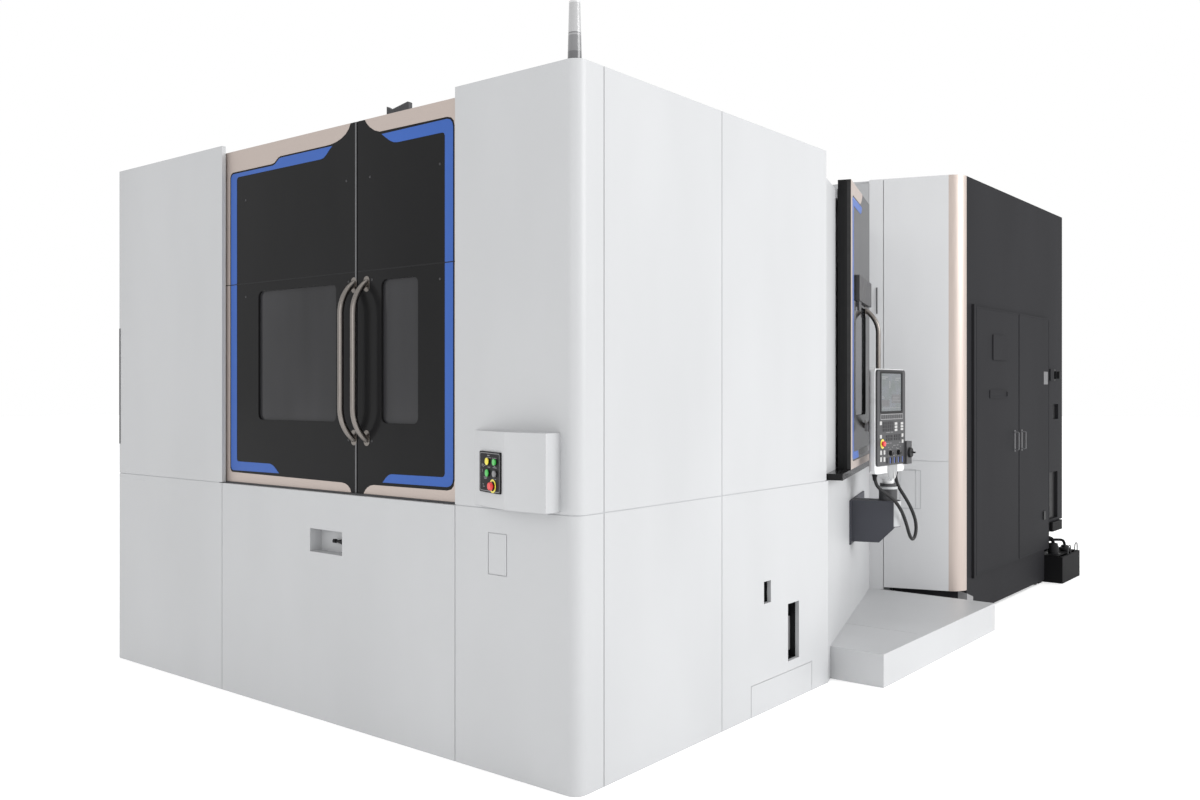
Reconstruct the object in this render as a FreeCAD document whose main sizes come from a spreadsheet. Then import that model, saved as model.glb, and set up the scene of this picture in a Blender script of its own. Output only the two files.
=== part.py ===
# Horizontal machining centre with a two-pallet set-up station, as a parametric assembly.
# Frame: +X to the right along the set-up front, +Y to the rear, +Z up, floor at z = 0.
# Most pieces are drawn from the front right corner of the set-up block ("corner" frame).
# The operator wall stands at an angle to it, and its pieces are drawn in the same frame turned
# by that angle ("wall" frame: x straight out of the wall, y along it towards the rear).
import FreeCAD, Part
import os
from math import pi, tan
from FreeCAD import Placement, Rotation, Vector

doc = FreeCAD.newDocument("machining_center")
sheet = doc.addObject("Spreadsheet::Sheet", "dims")

dimensions = [
    # overall
    ("body_width", 4047, "set-up block, across"),
    ("body_height", 3300, "set-up block, top of the outer covers"),
    ("setup_depth", 2430, "set-up block, front to back"),
    ("total_length", 7600, "control box face to rear end"),
    ("step_reach", 322, "step platform beyond the right face"),
    ("rear_front_in", 190, "front wall of the rear block, ahead of the panel's far end"),
    ("rear_height", 3525, "rear block"),
    ("mid_height", 3140, "machining area roof"),
    ("skin", 25, "cover thickness"),
    ("seam", 5, "visible gap between covers"),
    ("groove_depth", 4, "depth of a hatch outline"),
    ("run_gap", 0.3, "running gap of a sliding or turning piece"),
    ("stem_short", 1, "stem end behind the front of its plate's back"),
    ("shaft_gap", 0.4, "radial gap of a shaft in its bore"),
    # set-up block
    ("waist_z", 1255, "seam between lower and upper covers"),
    ("corner_round", 60, "outer radius of the front right corner"),
    ("left_cover_width", 1239, "upper left cover"),
    ("column_width", 780, "corner column, front side"),
    ("column_side", 190, "corner column, right side"),
    ("side_seam_y", 1200, "middle seam of the right side"),
    ("upper_back_short", 20, "upper side cover stops short of the lower one"),
    ("roof_z", 3250, "top of the recessed roof"),
    ("hatch_x", -555, "front hatch outline"),
    ("hatch_width", 125, ""),
    ("hatch_z", 940, ""),
    ("hatch_height", 201, ""),
    ("side_hatch_y", 1500, "side hatch outline"),
    ("side_hatch_width", 720, ""),
    ("side_hatch_height", 177, ""),
    ("slot_a_y", 1643, "small side slot"),
    ("slot_a_width", 79, ""),
    ("slot_a_z", 610, ""),
    ("slot_a_height", 125, ""),
    ("slot_b_y", 1921, "tall side slot"),
    ("slot_b_width", 135, ""),
    ("slot_b_z", 232, ""),
    ("slot_b_height", 335, ""),
    ("lamp_plate_near", 60, "lamp plate from the lamp axis, towards the corner"),
    ("lamp_plate_far", 70, "and away from it"),
    ("bearing_length", 30, "bearing of the latch lever"),
    ("bearing_wall", 11, ""),
    # front doors
    ("door_recess", 35, "door face behind the cover face"),
    ("door_thick", 40, ""),
    ("door_bottom", 1263, ""),
    ("door_top", 3261, ""),
    ("door_split_z", 2453, "joint line of the upper and lower door panels"),
    ("door_left_x", -2835, "outer edge of the left leaf"),
    ("door_meet_x", -1570, "meeting line of the leaves"),
    ("meet_gap", 6, "gap between the leaves"),
    ("left_glass_x", -2482, ""),
    ("left_glass_width", 731, ""),
    ("right_glass_x", -1372, ""),
    ("right_glass_width", 285, ""),
    ("glass_z", 1643, ""),
    ("glass_height", 755, ""),
    ("glass_round", 35, "corner radius of the windows"),
    ("glass_recess", 14, "pane behind the door face"),
    ("glass_thick", 10, ""),
    ("glass_lap", 18, "pane edge hidden behind the frame"),
    ("fit", 1, "clearance of a pane or plate in its rebate"),
    ("left_handle_x", -1597, ""),
    ("right_handle_x", -1491, ""),
    ("handle_z", 1551, "lower end of the handle"),
    ("handle_length", 842, ""),
    ("handle_reach", 90, "handle centre line off the door"),
    ("handle_tube", 34, "handle tube diameter"),
    ("handle_bend", 56, "turn of each handle end, degrees"),
    ("rail_deep", 30, "top guide rail"),
    ("rail_tall", 61, ""),
    ("sill_deep", 60, "bottom rail"),
    ("sill_tall", 60, ""),
    # latch pocket
    ("latch_x", -1937, ""),
    ("latch_width", 282, ""),
    ("latch_z", 920, ""),
    ("latch_height", 129, ""),
    ("latch_depth", 60, ""),
    ("latch_wall", 6, ""),
    ("lever_rod", 14, "lever rod diameter"),
    ("lever_length", 120, ""),
    # control box
    ("ctl_depth", 100, "box face in front of the cover face"),
    ("ctl_right_x", -100, ""),
    ("ctl_face", 254, "width of the face parallel to the cover"),
    ("ctl_facet", 288, "width taken by the slanted face"),
    ("ctl_z", 1268, ""),
    ("ctl_height", 356, ""),
    ("plate_from", 66, "control plate along the slanted face"),
    ("plate_width", 215, ""),
    ("plate_z", 1337, ""),
    ("plate_height", 192, ""),
    ("plate_thick", 8, ""),
    ("button_left", 157, "left button column along the slanted face"),
    ("button_right", 233, "right button column"),
    ("row_top_z", 1483, ""),
    ("row_mid_z", 1429, ""),
    ("row_low_z", 1370, ""),
    ("button_size", 30, "button diameter"),
    ("button_rise", 11, ""),
    ("estop_x", 204, ""),
    ("estop_size", 42, ""),
    ("estop_rise", 20, ""),
    # signal lamp
    ("lamp_in", 100, "lamp axis from both outer faces"),
    ("lamp_base_height", 20, ""),
    ("lamp_base_size", 66, ""),
    ("lamp_height", 273, "lens column"),
    ("lamp_top_size", 52, ""),
    # operator wall
    ("wall_angle", 18, "plan angle of the operator wall"),
    ("wall_run", 2204, "length of the operator wall"),
    ("upper_recess", 12, "upper wall behind the lower wall"),
    ("side_door_from", 400, "near edge of the side door along the wall"),
    ("side_door_width", 1044, ""),
    ("side_door_top", 3195, ""),
    ("side_door_bottom", 1296, ""),
    ("side_door_thick", 84, ""),
    ("side_door_gap", 4, "door behind face to wall"),
    ("side_glass_from", 250, "pane from the near edge of the side door"),
    ("side_glass_width", 560, ""),
    ("side_handle_from", 800, "handle from the near edge of the side door"),
    ("entry_margin", 90, "wall opening inside the door outline"),
    ("step_height", 204, ""),
    ("step_front_y", 2530, ""),
    ("step_back_y", 4550, ""),
    # rear block
    ("strip_width", 115, "narrow panel beside the wall"),
    ("panel_width", 500, "white rear panel"),
    ("panel_bottom", 222, ""),
    ("rear_seam_z", 1250, ""),
    ("small_hatch_in", 250, "small hatch outline on the lower rear panel"),
    ("small_hatch_width", 125, ""),
    ("small_hatch_z", 865, ""),
    ("small_hatch_height", 317, ""),
    ("cabinet_depth", 620, "electrical cabinet, in X"),
    ("cabinet_end_y", 6912, "rear face of the cabinet"),
    ("cabinet_bottom", 20, ""),
    ("cab_door_y", 5010, "front edge of the cabinet doors"),
    ("cab_door_meet_y", 6100, ""),
    ("cab_door_end_y", 7000, ""),
    ("cab_door_z", 312, ""),
    ("cab_door_top", 2497, ""),
    ("cab_door_thick", 20, ""),
    ("cab_door_lip", 60, "door overlap on the cabinet wall"),
    ("tail_bottom", 548, "underside of the rear overhang"),
    ("knob_y", 7246, "main switch"),
    ("knob_z", 1962, ""),
    ("knob_size", 78, ""),
    ("knob_rise", 42, ""),
    ("vent_y", 7075, "opening in the overhang side"),
    ("vent_width", 270, ""),
    ("vent_z", 575, ""),
    ("vent_height", 450, ""),
    ("port_y", 7190, "small opening in the overhang side"),
    ("port_width", 180, ""),
    ("port_z", 1535, ""),
    ("port_height", 145, ""),
    ("tank_reach", 165, "coolant tank beyond the right face"),
    ("tank_in", 480, "coolant tank under the overhang"),
    ("tank_height", 247, ""),
    ("tank_wall", 5, ""),
    # pendant
    ("post_x", -105, ""),
    ("post_y", 3575, ""),
    ("post_size", 127, ""),
    ("arm_width", 176, "bracket box along the wall"),
    ("arm_reach", 300, "bracket box out of the wall"),
    ("arm_z", 742, ""),
    ("arm_top", 1035, ""),
    ("arm_plate", 745, "mounting plate along the wall"),
    ("arm_plate_thick", 12, ""),
    ("arm_chamfer", 100, ""),
    ("post_top", 1134, ""),
    ("ring_top", 1155, ""),
    ("neck_size", 77, ""),
    ("neck_top", 1196, ""),
    ("dome_size", 172, ""),
    ("pendant_y", 3280, ""),
    ("pendant_width", 505, ""),
    ("pendant_z", 1235, ""),
    ("pendant_height", 730, ""),
    ("pendant_face_x", -60, ""),
    ("pendant_thick", 50, "shell"),
    ("face_thick", 14, "key face on the shell"),
    ("face_foot", 54, "key face from the foot of the shell"),
    ("screen_in", 65, ""),
    ("screen_z", 1668, ""),
    ("screen_height", 266, ""),
    ("mpg_y", 3760, "handwheel box"),
    ("mpg_z", 1283, ""),
    ("mpg_height", 165, ""),
    ("wheel_size", 74, ""),
    ("pend_estop_y", 3378, ""),
    ("pend_estop_z", 1443, ""),
    ("pend_knob_size", 38, ""),
    ("pend_knob_y", 3505, ""),
    ("pend_knob_pitch", 136, ""),
    ("pend_knob_z", 1374, ""),
    ("cord_size", 24, "pendant cord diameter"),
    ("breaker_stem", 24, ""),
    ("boss_rise", 28, "raised block on the cabinet tail"),
    ("boss_size", 110, ""),
    ("arm_plate_lap", 40, "wall plate of the bracket past its arm"),
    ("pin_size", 30, "pivot pin of the pendant"),
    ("screen_deep", 6, "screen recess"),
    ("mpg_width", 92, "handwheel box"),
    ("mpg_rise", 16, "handwheel box off the face"),
    ("knob_stem", 14, ""),
    ("estop_stem", 20, ""),
    # machine inside
    ("hub_drop", 90, "changer column top below the pallet groove"),
    ("hub_tall", 80, "lifting hub of the changer"),
    ("centre_x", -1900, "machine centre line"),
    ("bed_height", 500, ""),
    ("bed_width", 1300, "front part of the bed"),
    ("cross_front_y", 4750, "rear cross part of the bed"),
    ("cross_back_y", 6400, ""),
    ("cross_half", 1250, ""),
    ("rail_width", 60, ""),
    ("rail_height", 55, ""),
    ("rail_half", 420, "half spacing of the table rails"),
    ("pallet_size", 800, ""),
    ("pallet_thick", 200, ""),
    ("pallet_z", 1130, ""),
    ("pallet_groove_z", 95, "changer groove above the pallet underside"),
    ("groove_tall", 40, ""),
    ("groove_in", 100, ""),
    ("setup_y", 1200, "set-up pallet"),
    ("table_y", 3500, "table pallet"),
    ("saddle_height", 290, ""),
    ("saddle_width", 1040, ""),
    ("saddle_length", 820, ""),
    ("table_size", 760, "rotary table diameter"),
    ("arm_tip", 805, "changer blade reach"),
    ("arm_half", 150, "changer blade half width"),
    ("blade_thick", 20, ""),
    ("changer_post", 380, ""),
    ("column_half", 450, ""),
    ("column_leg", 200, ""),
    ("column_front_y", 5150, ""),
    ("column_length", 1000, ""),
    ("column_top", 3000, ""),
    ("column_foot", 250, ""),
    ("head_height", 520, ""),
    ("head_front_y", 4800, ""),
    ("head_length", 1100, ""),
    ("spindle_z", 1700, ""),
    ("spindle_size", 160, ""),
    ("nose_size", 220, ""),
    ("nose_length", 50, ""),
    ("taper_bore", 70, ""),
    ("wheel_radius", 700, "tool magazine wheel"),
    ("wheel_x", -3600, ""),
    ("wheel_y", 5550, ""),
    ("wheel_z", 1700, ""),
    ("wheel_thick", 60, ""),
    ("tool_size", 90, ""),
    ("tool_length", 260, ""),
    ("partition_y", 2345, ""),
    ("passage_half", 650, "opening in the partition"),
    ("passage_top", 2450, ""),
    ("shutter_thick", 16, ""),
]
TOOL_COUNT = 24
aliases = {alias for alias, value, note in dimensions}
for row, (alias, value, note) in enumerate(dimensions, start=1):
    sheet.set(f"A{row}", note or alias.replace("_", " "))
    sheet.set(f"B{row}", str(value))
    sheet.setAlias(f"B{row}", alias)
doc.recompute()


def size(alias):
    return float(sheet.get(alias))


def e(text):
    """An expression in which every word that is an alias reads the sheet."""
    out, word = "", ""
    for ch in text + " ":
        if ch.isalnum() or ch == "_":
            word += ch
            continue
        out += "dims." + word if word in aliases else word
        word = ""
        out += ch
    return out.strip()


# Places that several pieces share, as expressions in the sheet's words.
CORNER_X = "((body_width - step_reach) / 2)"
CORNER_Y = "(ctl_depth - total_length / 2)"
REAR_Y = "(total_length - ctl_depth)"
WALL_OUT = "(setup_depth * sin(wall_angle))"
WALL_FROM = "(setup_depth * cos(wall_angle))"
WALL_TO = f"({WALL_FROM} + wall_run)"
PANEL_OUT = f"({WALL_OUT} + strip_width + panel_width)"
PANEL_END_X = f"({PANEL_OUT} * cos(wall_angle) - {WALL_TO} * sin(wall_angle))"
PANEL_END_Y = f"({PANEL_OUT} * sin(wall_angle) + {WALL_TO} * cos(wall_angle))"
TRIM_RADIUS = f"(0 - {PANEL_END_X}) / (1 - sin(wall_angle))"
CABINET_Y = f"({PANEL_END_Y} + {TRIM_RADIUS} * cos(wall_angle))"
POST_OUT = "(post_x * cos(wall_angle) + post_y * sin(wall_angle))"
POST_ALONG = "(post_y * cos(wall_angle) - post_x * sin(wall_angle))"
DOOR_FACE = "door_recess"
DOOR_BACK = "(door_recess + door_thick)"
LEVER_Y = "(skin + latch_depth / 2)"
LEVER_Z = "(latch_z + latch_height / 2)"
SIDE_DOOR_NEAR = f"({WALL_FROM} + side_door_from)"
SIDE_DOOR_BACK = f"({WALL_OUT} + side_door_gap)"
SIDE_DOOR_FACE = f"({SIDE_DOOR_BACK} + side_door_thick)"

pieces = {}
serial = [0]


def made(kind, hint):
    serial[0] += 1
    return doc.addObject(kind, f"{hint}{serial[0]}")


def bind(obj, **exprs):
    for prop, text in exprs.items():
        obj.setExpression(prop.replace("__", "."), e(str(text)))
    return obj


def block(x, y, z):
    """Box between two expressions on each axis."""
    obj = made("Part::Box", "block")
    return bind(obj, Length=f"({x[1]}) - ({x[0]})", Width=f"({y[1]}) - ({y[0]})",
                Height=f"({z[1]}) - ({z[0]})",
                Placement__Base__x=x[0], Placement__Base__y=y[0], Placement__Base__z=z[0])


AXES = {"z": Rotation(), "x": Rotation(Vector(0, 1, 0), 90), "y": Rotation(Vector(1, 0, 0), -90),
        "-x": Rotation(Vector(0, 1, 0), -90), "-y": Rotation(Vector(1, 0, 0), 90)}


def rod(axis, x, y, z, diameter, length, end_diameter=None):
    """Cylinder, or cone when the far end has another diameter, from a point along an axis."""
    obj = made("Part::Cylinder" if end_diameter is None else "Part::Cone", "rod")
    obj.Placement = Placement(Vector(), AXES[axis])
    if end_diameter is None:
        bind(obj, Radius=f"({diameter}) / 2")
    else:
        bind(obj, Radius1=f"({diameter}) / 2", Radius2=f"({end_diameter}) / 2")
    return bind(obj, Height=length, Placement__Base__x=x, Placement__Base__y=y, Placement__Base__z=z)


def cut(base, *tools):
    obj = made("Part::Cut", "cut")
    obj.Base = base
    obj.Tool = tools[0] if len(tools) == 1 else group(*tools)
    return obj


def fuse(*parts):
    obj = made("Part::MultiFuse", "fuse")
    obj.Shapes = list(parts)
    return obj


def common(base, tool):
    obj = made("Part::Common", "common")
    obj.Base, obj.Tool = base, tool
    return obj


def group(*parts):
    obj = made("Part::Compound", "group")
    obj.Links = list(parts)
    return obj


def rounded(base, radius, pick):
    """Fillet of the edges of a block whose middle point passes the test."""
    doc.recompute()
    obj = made("Part::Fillet", "rounded")
    obj.Base = base
    obj.Edges = [(i, radius, radius) for i, edge in enumerate(base.Shape.Edges, start=1)
                 if pick(edge)]
    return obj


def along(axis):
    """Test for straight edges along one axis."""
    index = "xyz".index(axis)

    def pick(edge):
        ends = [v.Point for v in edge.Vertexes]
        if len(ends) != 2:
            return False
        step = ends[1] - ends[0]
        return all(abs(step[i]) < 1e-6 for i in range(3) if i != index)
    return pick


def outline(x, y, z, depth_axis, face):
    """Thin frame used to groove a hatch outline into a face."""
    spans = [x, y, z]
    inner = [(f"{a} + seam", f"{b} - seam") for a, b in spans]
    index = "xyz".index(depth_axis)
    spans[index] = face
    inner[index] = (f"{face[0]} - 1", f"{face[1]} + 1")
    return cut(block(*spans), block(*inner))


def piece(label, obj, frame="corner"):
    """Registers a finished sub-part: its label, its placement and its name as a file."""
    if obj.TypeId in ("Part::Box", "Part::Cylinder", "Part::Cone", "Part::Fillet"):
        obj = group(obj)
    obj.Label = label
    bind(obj, Placement__Base__x=CORNER_X, Placement__Base__y=CORNER_Y)
    if frame == "wall":
        bind(obj, Placement__Rotation__Angle="wall_angle")
    if frame == "facet":
        bind(obj, Placement__Base__x=f"{CORNER_X} + ctl_right_x - ctl_face - ctl_facet",
             Placement__Rotation__Angle="atan(0 - ctl_depth / ctl_facet)")
    pieces[label] = obj
    return obj


# ---- set-up block: covers ----
def corner_wall(z_from, z_to, front_width):
    """L-shaped cover: front sheet, rounded corner, and the first part of the right side."""
    outer = block((f"0 - {front_width}", "0"), ("0", "column_side - seam / 2"), (z_from, z_to))
    inner = block((f"0 - {front_width} - 1", "0 - skin"), ("skin", "column_side + 1"),
                  (f"{z_from} - 1", f"{z_to} + 1"))

    def front_corner(edge):
        middle = edge.CenterOfMass
        return along("z")(edge) and abs(middle.x) < 1e-6 and abs(middle.y) < 1e-6

    def inner_corner(edge):
        middle = edge.CenterOfMass
        return (along("z")(edge) and abs(middle.x + size("skin")) < 1e-6
                and abs(middle.y - size("skin")) < 1e-6)
    return cut(rounded(outer, size("corner_round"), front_corner),
               rounded(inner, size("corner_round") - size("skin"), inner_corner))


def front_apron():
    shell = corner_wall("0", "waist_z - seam / 2", "body_width")
    face = ("0 - 1", "groove_depth")
    tall = ("0 - 1", "waist_z + 1")
    seams = [block((f"{at} - seam / 2", f"{at} + seam / 2"), face, tall)
             for at in ("left_cover_width - body_width", "0 - column_width")]
    hatch = outline(("hatch_x", "hatch_x + hatch_width"), ("0", "0"),
                    ("hatch_z", "hatch_z + hatch_height"), "y", face)
    pocket = block(("latch_x", "latch_x + latch_width"), ("0 - 1", "skin + 1"),
                   ("latch_z", "latch_z + latch_height"))
    return fuse(cut(shell, *seams, hatch, pocket), latch_pocket())


def latch_pocket():
    """Pressed recess behind the apron, with the bearing of the lever."""
    x = ("latch_x", "latch_x + latch_width")
    z = ("latch_z", "latch_z + latch_height")
    box = block((f"{x[0]} - latch_wall", f"{x[1]} + latch_wall"), ("skin", "skin + latch_depth"),
                (f"{z[0]} - latch_wall", f"{z[1]} + latch_wall"))
    hollow = block(x, ("skin - 1", "skin + latch_depth - latch_wall"), z)
    bearing = rod("x", f"{x[1]} - bearing_length", LEVER_Y, LEVER_Z, "lever_rod + 2 * bearing_wall",
                  "bearing_length")
    bore = rod("x", f"{x[1]} - bearing_length - 1", LEVER_Y, LEVER_Z, "lever_rod + 2 * shaft_gap",
               "bearing_length + 2")
    return cut(fuse(cut(box, hollow), bearing), bore)


piece("front_apron", front_apron())
piece("front_left_cover", block(("0 - body_width", "left_cover_width - body_width"), ("0", "skin"),
                                ("waist_z + seam / 2", "body_height")))
piece("corner_cover", corner_wall("waist_z + seam / 2", "body_height", "column_width"))


def side_cover(z_from, z_to, y_to, *holes):
    sheet_metal = block(("0 - skin", "0"), ("column_side + seam / 2", y_to), (z_from, z_to))
    seam_line = block(("0 - groove_depth", "1"), ("side_seam_y - seam / 2", "side_seam_y + seam / 2"),
                      (f"{z_from} - 1", f"{z_to} + 1"))
    return cut(sheet_metal, seam_line, *holes)


def slot(name):
    return block(("0 - skin - 1", "1"), (f"{name}_y", f"{name}_y + {name}_width"),
                 (f"{name}_z", f"{name}_z + {name}_height"))


side_hatch = outline(("0", "0"), ("side_hatch_y", "side_hatch_y + side_hatch_width"),
                     ("0 - 10", "side_hatch_height"), "x", ("0 - groove_depth", "1"))
piece("side_lower_cover", side_cover("0", "waist_z - seam / 2", "setup_depth",
                                     slot("slot_a"), slot("slot_b"), side_hatch))
piece("side_upper_cover", side_cover("waist_z + seam / 2", "body_height",
                                     "setup_depth - upper_back_short"))


def front_shell():
    roof = block(("skin - body_width", "0 - skin"), (f"{DOOR_BACK} + rail_deep", "setup_depth - skin"),
                 ("roof_z - skin", "roof_z"))
    left = block(("0 - body_width", "skin - body_width"), ("skin", "setup_depth"), ("0", "body_height"))
    back = block(("skin - body_width", "0 - skin"), ("setup_depth - skin", "setup_depth"),
                 ("mid_height", "roof_z"))
    rail = block(("skin - body_width", "0 - skin"), (f"{DOOR_BACK} + run_gap", f"{DOOR_BACK} + rail_deep"),
                 ("door_top - rail_tall", "door_top"))
    return fuse(roof, left, back, rail)


piece("front_shell", front_shell())

# ---- front doors ----
piece("door_sill", block(("skin - body_width", "0 - corner_round"), ("skin", "skin + sill_deep"),
                         ("door_bottom - run_gap - sill_tall", "door_bottom - run_gap")))


def window_cut(x, width, z, height, y, round_size):
    hole = block((x, f"{x} + {width}"), y, (z, f"{z} + {height}"))
    return rounded(hole, round_size, along("y"))


def leaf(x_from, x_to, glass_x, glass_width):
    panel = block((x_from, x_to), (DOOR_FACE, DOOR_BACK), ("door_bottom", "door_top"))
    hole = window_cut(glass_x, glass_width, "glass_z", "glass_height",
                      (f"{DOOR_FACE} - 1", f"{DOOR_BACK} + 1"), size("glass_round"))
    rebate = window_cut(f"{glass_x} - glass_lap", f"{glass_width} + 2 * glass_lap", "glass_z - glass_lap",
                        "glass_height + 2 * glass_lap", (f"{DOOR_FACE} + glass_recess", f"{DOOR_BACK} + 1"),
                        size("glass_round") + size("glass_lap"))
    joint_line = block((f"{x_from} - 1", f"{x_to} + 1"), (f"{DOOR_FACE} - 1", f"{DOOR_FACE} + groove_depth"),
                       ("door_split_z - seam / 2", "door_split_z + seam / 2"))
    return cut(panel, hole, rebate, joint_line)


def pane(glass_x, glass_width):
    return window_cut(f"{glass_x} - glass_lap + fit", f"{glass_width} + 2 * glass_lap - 2 * fit",
                      "glass_z - glass_lap + fit", "glass_height + 2 * glass_lap - 2 * fit",
                      (f"{DOOR_FACE} + glass_recess", f"{DOOR_FACE} + glass_recess + glass_thick"),
                      size("glass_round") + size("glass_lap") - size("fit"))


def d_handle(x, face):
    """Tube handle: straight grip, and at each end a wide bend that runs into the door."""
    bend = "(handle_reach / (1 - cos(handle_bend)))"
    rise = f"({bend} * sin(handle_bend))"
    grip = rod("z", x, f"{face} - handle_reach", f"handle_z + {rise}", "handle_tube",
               f"handle_length - 2 * {rise}")
    ends = []
    for z, turn in ((f"handle_z + handle_length - {rise}", 1), (f"handle_z + {rise}", -1)):
        ring = made("Part::Torus", "bend")
        ring.Angle1, ring.Angle2 = -180, 180
        bind(ring, Radius1=bend, Radius2="handle_tube / 2", Angle3="handle_bend")
        # the ring is turned into the YZ plane and starts on the grip's centre line
        ring.Placement = Placement(Vector(), bend_turn(turn))
        bind(ring, Placement__Base__x=x, Placement__Base__y=f"{face} - handle_reach + {bend}",
             Placement__Base__z=z)
        ends.append(ring)
    tube = fuse(grip, *ends)
    keep = block((f"{x} - handle_tube", f"{x} + handle_tube"), (f"{face} - 2 * handle_reach", face),
                 ("handle_z - handle_tube", "handle_z + handle_length + handle_tube"))
    return common(tube, keep)


def bend_turn(turn):
    """Turns a ring lying flat (starting on +X) so that it starts on -Y and climbs by turn * Z."""
    start = Vector(0, -1, 0)
    climb = Vector(0, 0, turn)
    return Rotation(start, climb, start.cross(climb), "XYZ")


MEET_LEFT = "door_meet_x - meet_gap / 2"
MEET_RIGHT = "door_meet_x + meet_gap / 2"
piece("door_left", leaf("door_left_x", MEET_LEFT, "left_glass_x", "left_glass_width"))
piece("glass_left", pane("left_glass_x", "left_glass_width"))
piece("handle_left", d_handle("left_handle_x", DOOR_FACE))
piece("door_right", leaf(MEET_RIGHT, "0 - column_width - 3", "right_glass_x", "right_glass_width"))
piece("glass_right", pane("right_glass_x", "right_glass_width"))
piece("handle_right", d_handle("right_handle_x", DOOR_FACE))


# ---- latch lever ----
def latch_lever():
    start = "latch_x + latch_width - 2"
    bar = rod("-x", start, LEVER_Y, LEVER_Z, "lever_rod", "lever_length")
    taper = rod("-x", f"{start} - 54", LEVER_Y, LEVER_Z, "lever_rod * 2.4", "50", "lever_rod")
    tip = rod("-x", f"{start} - lever_length + 1", LEVER_Y, LEVER_Z, "lever_rod * 1.6", "20")
    return fuse(bar, taper, tip)


piece("latch_lever", latch_lever())


# ---- set-up control box ----
def setup_box():
    body = made("Part::Wedge", "wedge")
    bind(body, Xmin="ctl_right_x - ctl_face", Xmax="ctl_right_x", X2min="ctl_right_x - ctl_face - ctl_facet",
         X2max="ctl_right_x", Ymin="0 - ctl_depth", Ymax="0", Zmin="ctl_z", Zmax="ctl_z + ctl_height",
         Z2min="ctl_z", Z2max="ctl_z + ctl_height")
    return group(body)


def facet_plate():
    plate = block(("plate_from", "plate_from + plate_width"), ("0 - plate_thick", "0"),
                  ("plate_z", "plate_z + plate_height"))
    doc.recompute()
    shaped = rounded(plate, 8, along("y"))
    holes = [rod("-y", x, "1", z, "button_size * 0.6 + 2 * shaft_gap", "plate_thick + 2")
             for x, z in (("button_right", "row_top_z"), ("button_right", "row_mid_z"))]
    lamps = [rod("-y", "button_left", "0 - plate_thick + 1", z, "button_size", "button_rise * 0.6 + 1")
             for z in ("row_top_z", "row_mid_z")]
    hub = rod("-y", "estop_x", "1", "row_low_z", "estop_size * 0.5 + 2 * shaft_gap", "plate_thick + 2")
    return fuse(cut(shaped, *holes, hub), *lamps)


def push_button(x, z):
    stem = rod("-y", x, "0 - plate_thick + stem_short", z, "button_size * 0.6", "5")
    cap = rod("-y", x, "0 - plate_thick - 4", z, "button_size", "button_rise - 4")
    return fuse(stem, cap)


def mushroom(x, z, face):
    stem = rod("-y", x, f"stem_short - {face}", z, "estop_size * 0.5", "estop_rise / 2 + stem_short")
    head = rod("-y", x, f"0 - {face} - estop_rise / 2", z, "estop_size", "estop_rise / 2",
               "estop_size * 0.8")
    return fuse(stem, head)


piece("setup_box", setup_box())
piece("setup_plate", facet_plate(), "facet")
piece("start_button", push_button("button_right", "row_top_z"), "facet")
piece("stop_button", push_button("button_right", "row_mid_z"), "facet")
piece("setup_estop", mushroom("estop_x", "row_low_z", "plate_thick"), "facet")


# ---- signal lamp ----
def signal_lamp():
    plate = block(("0 - lamp_in - lamp_plate_far", "0 - lamp_in + lamp_plate_near"),
                  ("lamp_in - lamp_plate_near", "lamp_in + lamp_plate_far"),
                  ("door_top", "body_height"))
    base = rod("z", "0 - lamp_in", "lamp_in", "body_height", "lamp_base_size + 8", "lamp_base_height")
    lens = rod("z", "0 - lamp_in", "lamp_in", "body_height + lamp_base_height", "lamp_base_size",
               "lamp_height", "lamp_top_size")
    return group(fuse(plate, base), lens)


# ---- operator wall ----
def turned(obj, angle="wall_angle"):
    """A block drawn in one of the two frames, for use in a piece drawn in the other."""
    turn = group(obj)
    turn.Placement = Placement(Vector(), Rotation(Vector(0, 0, 1), 1))
    return bind(turn, Placement__Rotation__Angle=angle)


def slanted_lower():
    sheet_metal = block((f"{WALL_OUT} - skin", WALL_OUT), (WALL_FROM, WALL_TO), ("0", "waist_z"))
    setup_block = turned(block(("0 - 600", "0"), ("0", "setup_depth"), ("0 - 1", "waist_z + 1")),
                         "0 - wall_angle")
    return cut(sheet_metal, setup_block)


def wall_piece(x, y, z):
    return block(x, (f"{WALL_FROM} + {y[0]}", f"{WALL_FROM} + {y[1]}"), z)


def slanted_upper():
    face = f"{WALL_OUT} - upper_recess"
    sheet_metal = wall_piece((f"{face} - skin", face), ("0", "wall_run"),
                             ("side_door_bottom - run_gap", "mid_height"))
    entry = wall_piece((f"{face} - skin - 1", f"{face} + 1"),
                       ("side_door_from + entry_margin", "side_door_from + side_door_width - entry_margin"),
                       ("side_door_bottom + entry_margin", "mid_height - entry_margin"))
    rail = wall_piece((f"{WALL_OUT} - upper_recess", f"{WALL_OUT} - run_gap"),
                      ("side_door_from + 10", "wall_run - 2"), ("mid_height - 60", "mid_height"))
    return fuse(cut(sheet_metal, entry), rail)


def wall_sill_bar():
    return wall_piece((f"{WALL_OUT} - skin - upper_recess", SIDE_DOOR_FACE),
                      ("20", "wall_run - 2"), ("waist_z", "side_door_bottom - run_gap"))


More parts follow.
